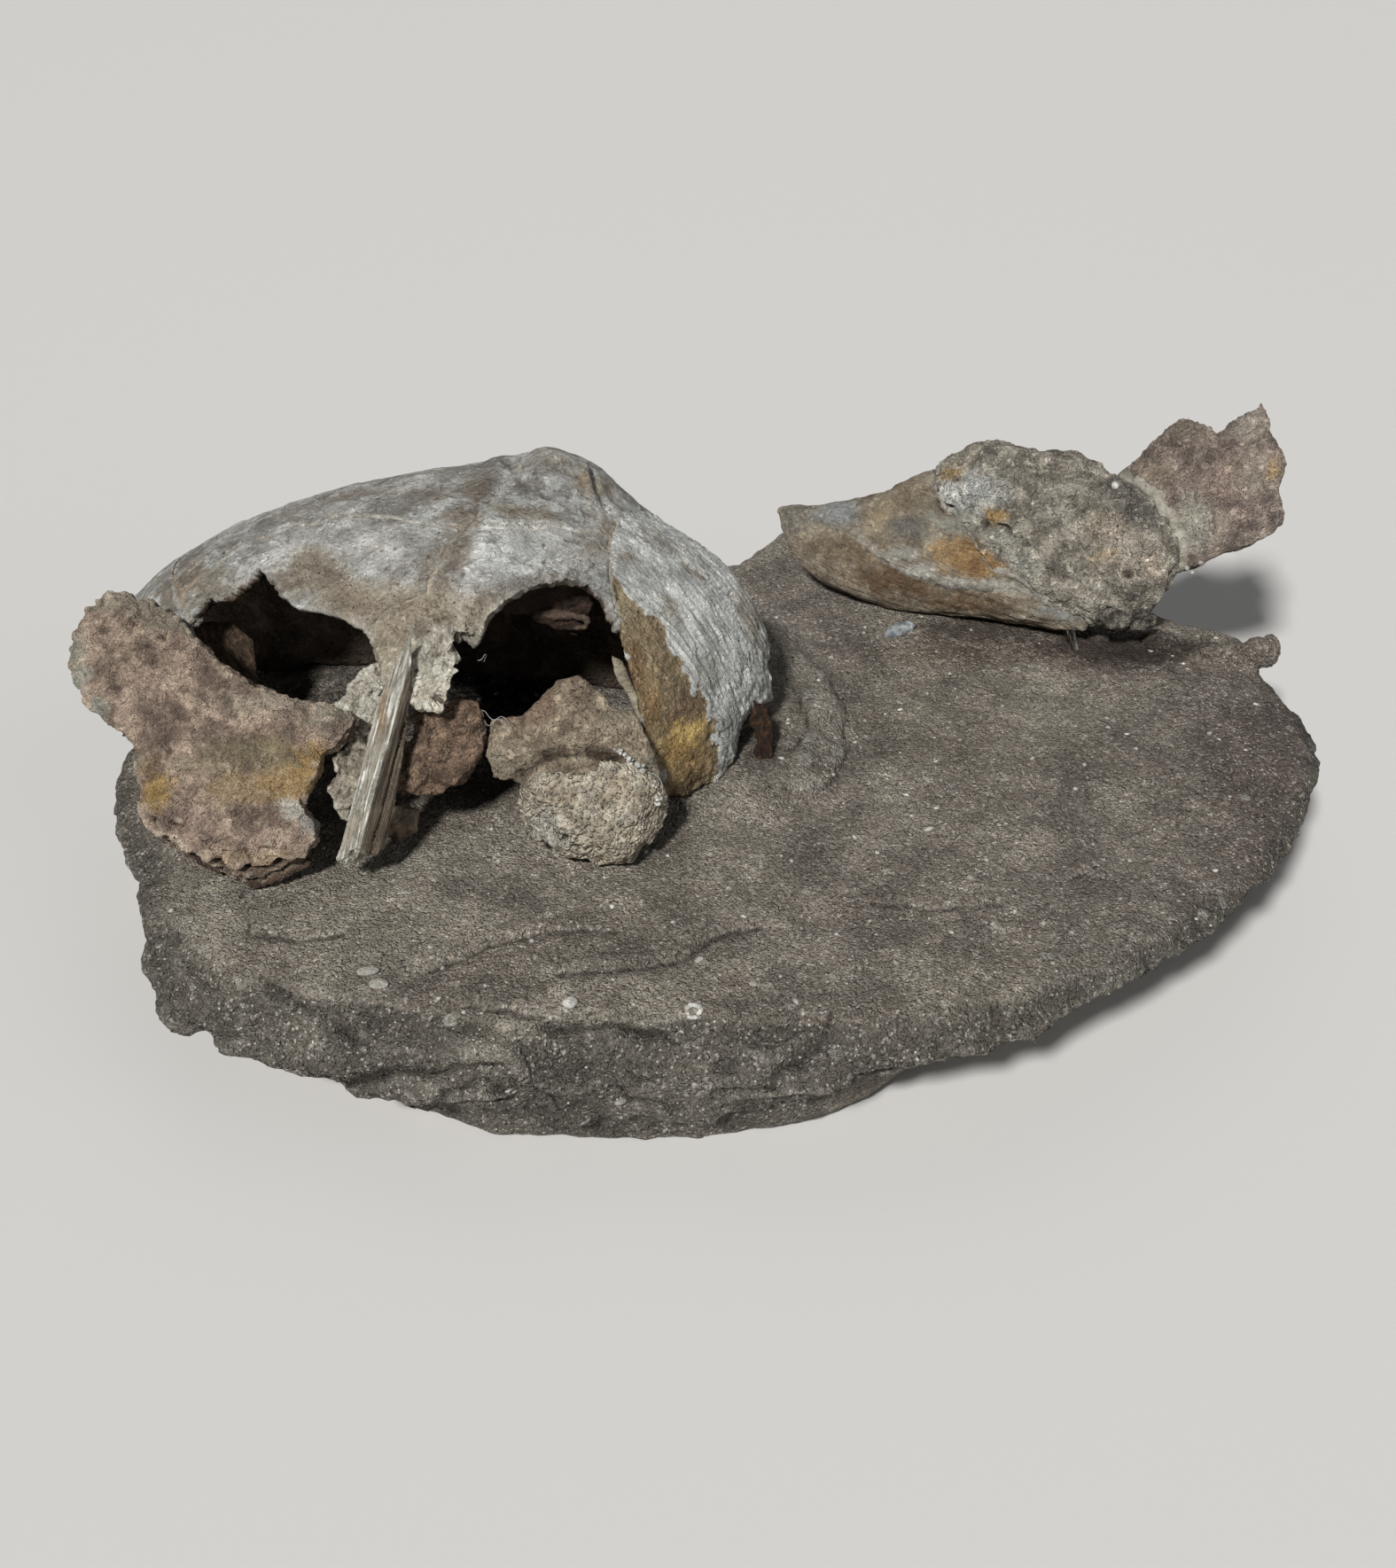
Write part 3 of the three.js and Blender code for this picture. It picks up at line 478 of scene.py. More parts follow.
class Finish:
    """A material under way: its nodes, the place on the piece, the shaken place for stains, and its heights."""

    def __init__(self, name, shake=3.0, shake_size=9.0):
        self.material = bpy.data.materials.new(name)
        self.material.use_nodes = True
        self.tree = self.material.node_tree
        self.shader = self.tree.nodes["Principled BSDF"]
        self.place = add_node(self.tree, "ShaderNodeTexCoord").outputs["Object"]
        stir = add_node(self.tree, "ShaderNodeTexNoise", {
            "Vector": self.place, "Scale": 1 / (shake_size * MM), "Detail": 4.0, "Roughness": 0.6})
        stir = add_node(self.tree, "ShaderNodeVectorMath", {0: stir.outputs["Color"], 1: (0.5, 0.5, 0.5)},
                        operation="SUBTRACT")
        stir = add_node(self.tree, "ShaderNodeVectorMath", {0: stir.outputs[0], 3: 2 * shake * MM}, operation="SCALE")
        self.shaken = add_node(self.tree, "ShaderNodeVectorMath", {0: self.place, 1: stir.outputs[0]},
                               operation="ADD").outputs[0]
        self.normal = None
        self.colour = None

    def cloud(self, size, detail=6.0, low=0.35, high=0.65, roughness=0.62):
        """A soft uneven value of 0 to 1, its patches about this many millimetres."""
        made = add_node(self.tree, "ShaderNodeTexNoise", {
            "Vector": self.place, "Scale": 1 / (size * MM), "Detail": detail, "Roughness": roughness})
        return between(self.tree, made.outputs[0], low, high)

    def strands(self, run, size, stretch, low=0.35, high=0.65):
        """Fibres along a direction, this wide in millimetres and this many times as long."""
        turned = add_node(self.tree, "ShaderNodeMapping", {
            "Vector": self.place, "Rotation": Vector(run).to_track_quat("Z", "Y").to_euler(),
            "Scale": (size * MM, size * MM, size * stretch * MM)}, vector_type="TEXTURE")
        made = add_node(self.tree, "ShaderNodeTexNoise", {
            "Vector": turned.outputs[0], "Scale": 1.0, "Detail": 4.0, "Roughness": 0.6, "Distortion": 0.25})
        return between(self.tree, made.outputs[0], low, high)

    def group(self, group, *settings, **laid):
        """A shared effect, set in the order of its sockets. Its masks may be laid at once: name=(colour, strength)."""
        made = add_node(self.tree, "ShaderNodeGroup", dict(enumerate((self.place, *settings))), node_tree=group).outputs
        for name, (colour, strength) in laid.items():
            self.lay(colour, made[name], strength)
        return made

    def ground(self, share, first, second):
        """The two colours that lie under all others. The share is a value, or the size of the patches."""
        if not isinstance(share, bpy.types.NodeSocket):
            share = self.cloud(share)
        self.colour = blend(self.tree, share, first, second)

    def lay(self, colour, share, strength=None):
        """Lays a colour over what is there, by a share that may be made weaker."""
        if strength is not None:
            share = self.scale(share, strength)
        self.colour = blend(self.tree, share, self.colour, colour)

    def hollows_and_ridges(self, *marks):
        """Darkens the hollows of the skin and lightens its proud places: each is (colour, from, to, strength)."""
        for colour, low, high, strength in marks:
            self.lay(colour, self.noted("hollow", low, high), strength)

    def stain(self, stains, within=1.0):
        """Lays patches of colour, most of them stains and some painted shadow: each is (centre, size, colour,
        strength), in millimetres. They may be kept within a value.
        """
        for centre, size, colour, strength in stains:
            mask = add_node(self.tree, "ShaderNodeGroup", {
                "Vector": self.shaken, "Centre": at(*centre), "Size": at(*size)}, node_tree=STAIN)
            self.lay(colour, self.scale(mask.outputs[0], strength), within)

    def noted(self, name, low, high):
        """A number kept on the skin, taken to 0 to 1."""
        kept = add_node(self.tree, "ShaderNodeAttribute", attribute_name=name)
        return between(self.tree, kept.outputs["Fac"], low, high)

    def press(self, height, depth):
        """Presses a height into the look of the skin, this deep in millimetres."""
        inputs = {"Height": height, "Distance": depth * MM, "Strength": 1.0}
        if self.normal is not None:
            inputs["Normal"] = self.normal
        self.normal = add_node(self.tree, "ShaderNodeBump", inputs).outputs[0]

    def scale(self, value, factor):
        """A value made stronger or weaker, by a number or by another value."""
        return sums(self.tree, "MULTIPLY", value, factor)

    def finish(self, roughness, specular=0.3, patch=5.0, uneven=0.24):
        """Joins the colour and the skin to the shader, the colour made finely uneven. Roughness is a number, or a
        value that varies."""
        shade = sums(self.tree, "MULTIPLY_ADD", self.cloud(patch, 9, 0.36, 0.64, 0.66), 2 * uneven, 1.05 - uneven)
        shade = add_node(self.tree, "ShaderNodeCombineColor", {0: shade, 1: shade, 2: shade}).outputs[0]
        self.colour = add_node(self.tree, "ShaderNodeMix", {0: 1.0, 6: self.colour, 7: shade}, data_type="RGBA",
                               blend_type="MULTIPLY").outputs[2]
        self.tree.links.new(self.colour, self.shader.inputs["Base Color"])
        if self.normal is not None:
            self.tree.links.new(self.normal, self.shader.inputs["Normal"])
        if isinstance(roughness, bpy.types.NodeSocket):
            self.tree.links.new(roughness, self.shader.inputs["Roughness"])
        else:
            self.shader.inputs["Roughness"].default_value = roughness
        self.shader.inputs["Specular IOR Level"].default_value = specular
        return self.material


def top_of(piece, x, y):
    """The height of a piece's top over a place, in millimetres."""
    bpy.context.view_layer.update()
    hit, place, _, _ = piece.ray_cast(at(x, y, 90), Vector((0, 0, -1)))
    return place.z / MM if hit else 0.0


def edge_of(points):
    """How far each point lies over the broken edge of the slab, 0 at its inner line and 1 at the rim, and how far
    the edge falls there."""
    turn = np.degrees(np.arctan2(points[:, 1], points[:, 0]))
    reach = np.hypot(points[:, 0], points[:, 1])
    half = 180 // RIM_SECTOR
    sector = np.round(turn / RIM_SECTOR).astype(int) + half
    rim = np.array([np.max(reach[sector == s], initial=0) for s in range(2 * half + 1)])
    rim[0] = rim[-1] = max(rim[0], rim[-1])
    rim = np.interp(turn, np.arange(2 * half + 1) * float(RIM_SECTOR) - 180, rim)
    turns, widths, falls = np.array(SLAB_BROKEN_EDGE, float).T
    width, fall = np.interp(turn, turns, widths), np.interp(turn, turns, falls)
    share = 1 - (rim - reach) / width
    for i in np.nonzero(share > -0.6)[0]:
        share[i] += 0.4 * noise.fractal(Vector((points[i, 0] / 26, points[i, 1] / 15, 3.1)), 0.7, 2.0, 3)
    return np.clip(share, 0, 1.1), fall


slab = cast_of("matrix_slab", "sandstone_bed", SLAB_GRAIN)
settle(slab, 20)
points = skin_of(slab)[0]
share, fall = edge_of(points)
points[:, 2] -= share ** 1.7 * fall * np.clip((points[:, 2] - 3) / 20, 0, 1)
set_skin(slab, points)
even_skin(slab, SLAB_FINE_GRAIN)
settle(slab, 6)
roughen(slab, (34, 3.0, 2), (9, 1.4, 3))
points, normals, _ = skin_of(slab)
broken, fall = edge_of(points)
side = np.clip((0.97 - np.abs(normals[:, 2])) / 0.22, 0, 1) * np.clip(points[:, 2] / 3, 0, 1)
side *= np.clip(broken * 4, 0, 1)
ledges = side * np.clip((fall - 1.5) / 5, 0.12, 1) * np.clip((points[:, 2] - 7) / 9, 0, 1)
for i in np.nonzero(ledges > 0)[0]:
    x, y, z = points[i]
    warp = noise.fractal(Vector((x / 34, y / 34, z / 22)), 0.8, 2.0, 3)
    bed = (z + LAYER_WARP * warp) / SLAB_BED
    layer = math.floor(bed)
    reach = noise.noise(Vector((x / 18, y / 18, layer * 7.3)))
    ledge = (bed - layer) ** 2 * SLAB_STEP * (0.7 + reach) + reach * 1.5
    points[i] += normals[i] * ((ledge - 1.2) * ledges[i])
crust = np.clip(near(points, SLAB_CRUST, CRUST_REACH) * 2.4, 0, 1) * (points[:, 2] > 25)
for i in np.nonzero(crust > 0)[0]:
    x, y, z = points[i]
    crust[i] *= min(1, max(0, 0.75 + 1.3 * noise.fractal(Vector((x / 7, y / 7, 1.0)), 0.8, 2.0, 3)))
    points[i, 2] += crust[i] * (1.5 + 1.2 * noise.noise(Vector((x / 3.5, y / 3.5, 5.0))))
set_skin(slab, points)
settle(slab, 3, 75)
knap(slab, 420, 3.2, 0.5, 5, np.maximum(side, broken))
roughen(slab, (3.2, 0.9, 3))
roughen(slab, (4.5, 1.0, 3), where=np.clip(broken, 0, 1))
laid = [([(x, y, top_of(slab, x, y)) for x, y, _ in drawn(line, wander, 3 + n, 2.0)], width, depth)
        for n, (line, width, depth, wander) in enumerate(SLAB_CRACKS)]
cracked = carve(slab, [(line, width, depth, 0.3) for line, width, depth in laid], seed=3)
carve(slab, [([(x, y + CRACK_LIP, z) for x, y, z in line], width * 1.3, -0.4 * depth, 0.3)
             for line, width, depth in laid], seed=3)
for ring in range(SPIKE_ROUNDS):
    points, _, pairs = skin_of(slab)
    around = np.zeros_like(points)
    for start, end in (pairs.T, pairs.T[::-1]):
        np.add.at(around, start, points[end])
    around /= np.bincount(pairs.ravel(), minlength=len(points))[:, None]
    sharp = np.linalg.norm(points - around, axis=1) > SPIKE
    points[sharp] = around[sharp]
    set_skin(slab, points)
points[:, 2] = np.maximum(points[:, 2], 0)
set_skin(slab, points)
note_hollows(slab, 3, 1.3)
note(slab, "edge", np.clip(np.maximum(broken, side), 0, 1))
note(slab, "crack", cracked)
note(slab, "crust", crust)

sandstone = Finish("Sandstone", 5, 16)
sandstone.ground(22, (0.2, 0.171, 0.139), (0.33, 0.294, 0.239))
sandstone.lay((0.215, 0.185, 0.16), sandstone.cloud(60, 3, 0.46, 0.66), 0.5)
# Darker towards the right end, and two patches of painted shadow that the jaw piece casts on the slab.
sandstone.stain([
    ((128, -20, 22), (34, 62, 30), (0.125, 0.098, 0.083), 0.8),
    ((96, 36, 28), (26, 12, 12), (0.12, 0.085, 0.068), 0.5),
    ((60, 36, 30), (30, 8, 6), (0.12, 0.085, 0.06), 0.5),
])
sandstone.lay((0.31, 0.29, 0.245), sandstone.noted("crust", 0.35, 0.9), 0.7)
sand = sandstone.group(SAND, 1900.0)
coarse = sandstone.group(SAND, 800.0)
flecks = sandstone.group(PORES, 240.0, 0.1)
glints = sandstone.group(SAND, 1250.0)
sandstone.lay((0.085, 0.078, 0.065), sandstone.noted("edge", 0.1, 0.75), 0.72)
sandstone.lay((0.055, 0.048, 0.04), sand["Dark"], 0.75)
sandstone.lay((0.06, 0.052, 0.044), glints["Dark"], 0.5)
sandstone.lay((0.7, 0.68, 0.61), sand["Bright"], 0.8)
sandstone.lay((0.66, 0.64, 0.57), glints["Bright"], 0.6)
sandstone.lay((0.46, 0.44, 0.39), coarse["Bright"], 0.4)
sandstone.lay((0.44, 0.42, 0.37), flecks["Mask"], 0.7)
sandstone.hollows_and_ridges(((0.055, 0.045, 0.038), 0.64, 1.0, 0.6), ((0.3, 0.28, 0.24), 0.4, 0.05, 0.3))
sandstone.lay((0.05, 0.042, 0.035), sandstone.noted("crack", 0.35, 0.9), 0.75)
# Painted shadow on the slab: under the skull, in front of where its bones stand, by the cheek's end and under the jaw
# piece.
sandstone.stain([
    ((-60, 7, 31), (38, 21, 8), (0.01, 0.008, 0.006), 1.0),
    ((-66, -16, 30), (20, 12, 8), (0.02, 0.016, 0.012), 0.95),
    ((-48, -28, 30), (20, 8, 8), (0.06, 0.048, 0.038), 0.6),
    ((10, -8, 31), (7, 18, 8), (0.04, 0.032, 0.026), 0.7),
    ((66, 46, 30), (24, 7, 6), (0.055, 0.04, 0.03), 0.8),
    ((98, 38, 29), (26, 9, 6), (0.05, 0.035, 0.027), 0.85),
])
sandstone.press(sandstone.cloud(2.2, 5), 1.0)
sandstone.press(glints["Height"], 0.38)
sandstone.press(coarse["Height"], 0.22)
sandstone.press(sand["Height"], 0.32)
dull_to_glint = between(sandstone.tree, sand["Bright"], 0, 1, 0.85, 0.35)
place_piece(slab, sandstone.finish(dull_to_glint, 0.3, 14.0, 0.24), "sandstone", "matrix_slab")

# ---- White bits and chips on the slab ----
# Flat white bits of clams lie half sunk in the sandstone, with smaller crumbs and coarse grains round them. A
# bluish chip of bone lies near the jaw piece, and a knob of sandstone stands on the rear right edge.
WHITE_BITS = [
    # place from above, length, width, thickness, turn in degrees
    (-66.5, -83.5, 4.4, 2.6, 0.9, 8), (-64.0, -87.2, 3.9, 3.0, 0.9, -10), (-27.8, -93.3, 3.0, 2.6, 1.8, 20),
    (-38.2, -106.0, 2.3, 1.3, 0.9, 15), (-18.4, -104.5, 2.4, 1.5, 1.0, 30), (-12.7, -108.5, 1.7, 2.4, 1.2, 10),
    (6.2, -87.0, 1.7, 1.5, 0.8, 0), (-72.0, -101.0, 2.0, 1.3, 0.9, 0), (-4.0, -80.0, 2.3, 1.2, 0.7, 50),
    (14.0, -92.0, 1.0, 2.0, 0.7, 20), (44.0, -37.0, 2.6, 1.2, 0.6, 30), (62.0, -20.0, 2.0, 1.0, 0.6, 10),
]
WHITE_RING = (-4.9, -94.6)
BLUE_CHIP = (44.8, 44.0, 8.4, 3.6, 3.2, 24)
SMALL_BITS = 260
KNOBS = [((129.5, 33.5, 31.0), (5.0, 3.8, 3.6)), ((123.0, 35.0, 29.6), (5.6, 3.6, 3.0)),
         ((117.5, 36.0, 29.0), (5.0, 3.6, 2.4)), ((132.0, 34.0, 32.8), (2.6, 2.4, 2.4)),
         ((125.5, 33.5, 27.5), (7.0, 4.2, 3.4)), ((108.0, 41.0, 29.2), (6.0, 4.0, 2.6))]


def pebble(place, size, turn=(0, 0, 0), faces=2, seed=0, rag=0.12):
    """One small irregular bit: a ball pressed to its size, its points shaken, and laid in its place, in millimetres."""
    bpy.ops.mesh.primitive_ico_sphere_add(subdivisions=faces, radius=0.5 * MM, location=at(*place), rotation=turn)
    bit = bpy.context.object
    bit.scale = size
    chance = np.random.default_rng(seed)
    for point in bit.data.vertices:
        point.co *= 1 + chance.uniform(-rag, rag)
    bpy.ops.object.transform_apply(location=True, rotation=True, scale=True)
    return bit


def gather(bits, name):
    """Joins small bits to one piece."""
    pick(*bits)
    bpy.ops.object.join()
    heap = bpy.context.object
    heap.name = name
    on_all(bpy.ops.mesh.normals_make_consistent, inside=False)
    return heap


bits = []
for number, (x, y, length, width, thick, turn) in enumerate(WHITE_BITS):
    height = top_of(slab, x, y)
    if height > 5:
        bits.append(pebble((x, y, height + thick * 0.12), (length, width, thick), (0, 0, math.radians(turn)),
                           3, number, 0.06))
for turn in range(0, 360, 40):
    x = WHITE_RING[0] + 1.25 * math.cos(math.radians(turn))
    y = WHITE_RING[1] + 1.0 * math.sin(math.radians(turn))
    bits.append(pebble((x, y, top_of(slab, x, y) + 0.15), (1.5, 1.1, 0.9), (0, 0, math.radians(turn + 90)), 2, turn))
chance = np.random.default_rng(11)
for number in range(SMALL_BITS):
    x, y, size = chance.uniform(-120, 125), chance.uniform(-105, 60), chance.uniform(0.5, 1.3)
    height = top_of(slab, x, y)
    if height > 20:
        bits.append(pebble((x, y, height), (size * chance.uniform(1, 1.7), size, size * 0.6),
                           (0, 0, chance.uniform(0, 3)), 1, number, 0.2))
white_bits = gather(bits, "white_bits")
bit_white = Finish("White bits", 1, 3)
bit_white.ground(1.2, (0.3, 0.285, 0.25), (0.56, 0.55, 0.51))
bit_white.lay((0.19, 0.175, 0.15), bit_white.cloud(18, 2, 0.5, 0.62), 0.5)
bit_white.press(bit_white.cloud(0.5), 0.12)
place_piece(white_bits, bit_white.finish(0.55, 0.4), "sandstone")

x, y, length, width, thick, turn = BLUE_CHIP
blue_chip = pebble((x, y, top_of(slab, x, y) + 0.5), (length, width, thick), (0.1, -0.15, math.radians(turn)),
                   4, 5, 0.03)
blue_chip.name = "blue_chip"
roughen(blue_chip, (1.5, 0.7, 2))
chip_blue = Finish("Bluish chip", 1, 3)
chip_blue.ground(1.5, (0.13, 0.145, 0.155), (0.34, 0.36, 0.36))
chip_blue.press(chip_blue.cloud(0.6), 0.15)
place_piece(blue_chip, chip_blue.finish(0.6), "sandstone")

knob = gather([pebble(place, np.array(size) * 2, (0, 0, 0.4 * n), 3, 70 + n, 0.05) for n, (place, size) in
               enumerate(KNOBS)], "rear_knob")
even_skin(knob, 0.45)
roughen(knob, (2.6, 1.6, 3))
note_hollows(knob, 3, 1.3)
place_piece(knob, slab.data.materials[0], "sandstone")

# ---- The filling of the braincase and the orbit walls ----
# Rock fills the rear of the skull. It is seen only as a dark ground behind the open eye sockets, coloured
# near-black as painted shade, with the thin brown walls of bone that hang between them and the roof.
BONE_HEART = np.array((-48.0, 8.0, 38.0))


def note_shade_inside(piece):
    """Notes how far the skin faces the hollow of the skull, where no light reaches, for painted shade there."""
    points, normals, _ = skin_of(piece)
    out = points - BONE_HEART
    out /= np.linalg.norm(out, axis=1)[:, None]
    under = np.clip(0.5 - (out * normals).sum(1), 0, 1)
    note(piece, "painted_underside_shade", under)
    note(piece, "inside", under * np.clip((points[:, 1] + 19) / 9, 0, 1))


def broken_piece(node, name, grain, rubs, chips, coats, hollows, **way):
    """A casting rubbed round, then chipped all over and roughened: the whole shaping of a plain broken piece."""
    piece = cast_of(node, name, grain)
    settle(piece, rubs)
    if chips:
        knap(piece, *chips)
    roughen(piece, *coats, **way)
    note_hollows(piece, *hollows)
    return piece


core = broken_piece("braincase_rock", "braincase_fill", 0.9, 10, None, [(8, 1.6, 3), (2.5, 0.8, 2)], (2, 1.5))
# Painted shade: the rock is coloured near-black, because the hollow of the skull lies in shadow.
dark_rock = Finish("Braincase rock in painted shade", 4, 12)
dark_rock.ground(9, (0.038, 0.028, 0.02), (0.085, 0.063, 0.046))
grit = dark_rock.group(SAND, 1300.0, Bright=((0.16, 0.13, 0.1), 0.5))
dark_rock.press(dark_rock.cloud(2.5), 0.5)
dark_rock.press(grit["Height"], 0.25)
place_piece(core, dark_rock.finish(0.9, 0.2), "matrix_rock", "braincase_rock")


def thread(run, thick, sides, swell=None):
    """A round thread of bone or root through these points, closed at its ends, so thick in millimetres."""
    bpy.ops.curve.primitive_bezier_curve_add(location=(0, 0, 0))
    made = bpy.context.object
    line = made.data.splines[0].bezier_points
    line.add(len(run) - 2)
    for knot, place, width in zip(line, run, swell or [1.0] * len(run)):
        knot.co = at(*place)
        knot.radius = width
        knot.handle_left_type = knot.handle_right_type = "AUTO"
    made.data.bevel_depth = thick * MM
    made.data.bevel_resolution = sides
    made.data.use_fill_caps = True
    pick(made)
    bpy.ops.object.convert(target="MESH")
    return bpy.context.object


CURLED_LIP = [(-38.5, -12.6, 66.6), (-35.5, -13.2, 67.2), (-32, -13.8, 67.4), (-29.4, -14.6, 67.6),
              (-27.2, -15.0, 66.8), (-27.6, -15.0, 65.4), (-30.0, -14.4, 64.8)]
LIP_SWELL = [0.9, 0.6, 0.8, 0.7, 0.9, 0.7, 0.5]
left_wall = cast_of("left_orbit_wall", "left_wall_of_orbit", 0.3)
lip = thread(CURLED_LIP, 1.1, 3, LIP_SWELL)
sheet = pebble((-33.0, -12.9, 66.2), (12.0, 1.5, 4.6), (0, 0.12, 0), 3, 17, 0.05)
pick(lip, sheet, left_wall)
bpy.ops.object.join()
even_skin(left_wall, 0.3)
settle(left_wall, 8)
roughen(left_wall, (3.0, 1.6, 2), (1.0, 0.6, 2))
note_hollows(left_wall, 2, 2.5)
# Brown bone, its colours darkened as painted shade of the eye socket.
wall_bone = Finish("Orbit wall bone in painted shade", 2, 6)
wall_bone.ground(3.5, (0.022, 0.013, 0.008), (0.055, 0.033, 0.021))
wall_bone.stain([
    ((-33, -14.5, 68), (8, 2.0, 1.6), (0.085, 0.058, 0.042), 0.9),
    ((-28, -15.5, 65.8), (3.5, 2.0, 3.5), (0.105, 0.075, 0.055), 0.9),
])
wall_bone.hollows_and_ridges(((0.02, 0.012, 0.008), 0.6, 0.95, 0.8))
wall_bone.press(wall_bone.cloud(0.8), 0.3)
place_piece(left_wall, wall_bone.finish(0.75), "brown_bone", "left_orbit_wall")

WALL_RUN = (0.4, 0.2, -0.9)
right_wall = broken_piece("right_orbit_wall", "right_wall_of_orbit", 0.4, 12, None, [(1.6, 1.0, 2)], (2, 2.0),
                          along=WALL_RUN, stretch=7)
# Brown bone, its colours darkened as painted shade of the eye socket.
fibre_bone = Finish("Fibrous wall bone in painted shade", 2, 6)
streaks = fibre_bone.strands(WALL_RUN, 0.8, 9)
fibre_bone.ground(streaks, (0.027, 0.017, 0.01), (0.088, 0.058, 0.034))
fibre_bone.hollows_and_ridges(((0.025, 0.018, 0.012), 0.6, 0.95, 0.8))
fibre_bone.press(streaks, 0.4)
place_piece(right_wall, fibre_bone.finish(0.8), "crumbly_bone", "right_orbit_wall")

# ---- The skull roof ----
# Two frontals, two parietals, the right postorbital and the blade of the crest behind them, all smooth weathered
# bone. A fine seam parts each from the next. Brown stain lies along the seams, and sand clings to the lower edge.
ROOF_RUN = (0.75, 0.6, 0.25)
ROOF_PALE = (0.5, 0.495, 0.455)
ROOF_GREY = (0.285, 0.27, 0.242)
ROOF_BROWN = (0.19, 0.152, 0.11)
ROOF_SAND = (0.38, 0.33, 0.252)
ROOF_STAINS = [
    ((-42, -16, 82), (11, 9, 7), (0.76, 0.765, 0.735), 0.85),
    ((-70, -12, 81), (14, 9, 7), (0.62, 0.605, 0.56), 0.7),
    ((-88, -8, 79), (10, 8, 7), (0.66, 0.65, 0.605), 0.7),
    ((-33, -10, 82), (6, 8, 5), (0.6, 0.6, 0.56), 0.6),
    ((-55.5, -25, 79), (4.5, 6, 5), (0.25, 0.205, 0.15), 0.9),
    ((-54.5, -16, 83), (4.5, 7, 5), ROOF_BROWN, 0.9),
    ((-53.0, -6, 86), (4.2, 7, 5), ROOF_BROWN, 0.95),
    ((-51.0, 6, 87), (4.5, 8, 5), ROOF_BROWN, 0.9),
    ((-36.0, 19, 88.5), (5, 4, 3), (0.24, 0.195, 0.135), 0.7),
    ((-24.5, 14, 83.5), (4, 6, 3), (0.23, 0.175, 0.105), 0.8),
    ((-76, 9, 84), (10, 3.5, 6), (0.218, 0.177, 0.132), 0.7),
    ((-62, 4, 86), (8, 3, 6), (0.23, 0.189, 0.142), 0.65),
    ((-92, 9, 80), (8, 3, 6), (0.236, 0.201, 0.159), 0.55),
    ((-40, -2, 85.5), (9, 2.4, 4), (0.283, 0.23, 0.147), 0.75),
    ((-26, -8, 80), (6, 4, 4), (0.236, 0.195, 0.136), 0.75),
    ((-22.5, -1, 80.5), (3, 5, 4), (0.201, 0.159, 0.109), 0.75),
    ((-35, 14, 88), (6, 4, 4), (0.236, 0.201, 0.147), 0.7),
    ((-28, 12, 85.5), (3.5, 5, 3.5), (0.354, 0.254, 0.13), 0.8),
    ((-74, -25, 76.5), (13, 4.5, 4.5), ROOF_SAND, 0.9),
    ((-62, -26, 78), (9, 5, 6), ROOF_SAND, 0.85),
    ((-58.5, -19.5, 81), (3.5, 6, 4), (0.283, 0.23, 0.165), 0.8),
    ((-89, -17.5, 75), (7, 4, 4), (0.283, 0.236, 0.171), 0.75),
    ((-45, -28, 77), (8, 3.5, 5), (0.389, 0.336, 0.254), 0.7),
    ((-84.3, -18.6, 76.7), (2.2, 2.2, 2.2), (0.201, 0.165, 0.112), 0.9),
    ((-104, -8, 72), (9, 5, 4), (0.277, 0.236, 0.171), 0.75),
    ((-112, -4, 69), (8, 9, 7), (0.205, 0.155, 0.105), 0.95),
]
SEAM_GROOVES = [
    ([(-58.8, -21.7, 80.8), (-54.8, -15.4, 83.5), (-51, -7.5, 85.6), (-47.3, 2.8, 86.6)], 3.0, 0.25, 0.3),
    ([(-113, -0.4, 70.4), (-99, 6, 77), (-85.5, 9.9, 81.7)], 2.2, -0.5, 0.5),
    ([(-111, 3, 71.5), (-97, 9, 78), (-84, 13, 82)], 1.8, 0.45, 0.5),
    ([(-111, -4.5, 71), (-98, 1, 77), (-86, 5, 81.5)], 1.8, 0.45, 0.5),
    ([(-93, -8, 77.5), (-88, -3, 79.5), (-82, 2, 81.5)], 1.8, 0.4, 0.5),
    ([(-43, 16, 88), (-38, 8, 87.5), (-35, 2, 86)], 2.4, 0.5, 0.6),
    ([(-33, 9, 88.5), (-29, 6, 85.5), (-25, 3, 82.5)], 2.6, -0.7, 0.5),
    ([(-48, -6, 86), (-41, -6, 85.5), (-33, -4, 84.5)], 2.2, -0.4, 0.6),
    ([(-30, 6, 86), (-24, 1, 82), (-20, -3, 79)], 1.6, 0.5, 0.5),
    ([(-27, 19, 85.5), (-25.5, 13, 84.5), (-23, 6, 82.5)], 3.4, 1.1, 0.6),
    ([(-29, 20, 86.8), (-28, 13, 86), (-26, 6, 84.5)], 3.0, -0.8, 0.6),
    ([(-45, 17, 88.5), (-42, 10, 88.5), (-40.5, 5, 88)], 3.6, 1.3, 0.4),
]
RIGHT_EYE_RIM = [(-106, -11.5, 70.8), (-98.8, -13.5, 73), (-93, -15, 75), (-87.8, -16.5, 76.5), (-84, -12, 79),
                 (-80, -17, 78.5), (-76, -22, 77), (-70, -27, 76), (-64, -31, 75)]
LEFT_EYE_RIM = [(-50, -31, 75), (-47, -27, 77.5), (-41.9, -23, 79), (-36, -20, 79), (-29.8, -18.5, 77.5),
                (-25, -20, 75), (-22, -24, 71)]
BRIDGE_LINE = [(-72, -29, 75.5), (-65, -29.5, 76.5), (-57, -28.5, 77.5), (-49.5, -30.5, 75.5)]
SKULL_WAVE = (11, 1.2, 2)
CRUMBLE = (2.8, 1.5, 3)
RIM_THICKER = 1.8
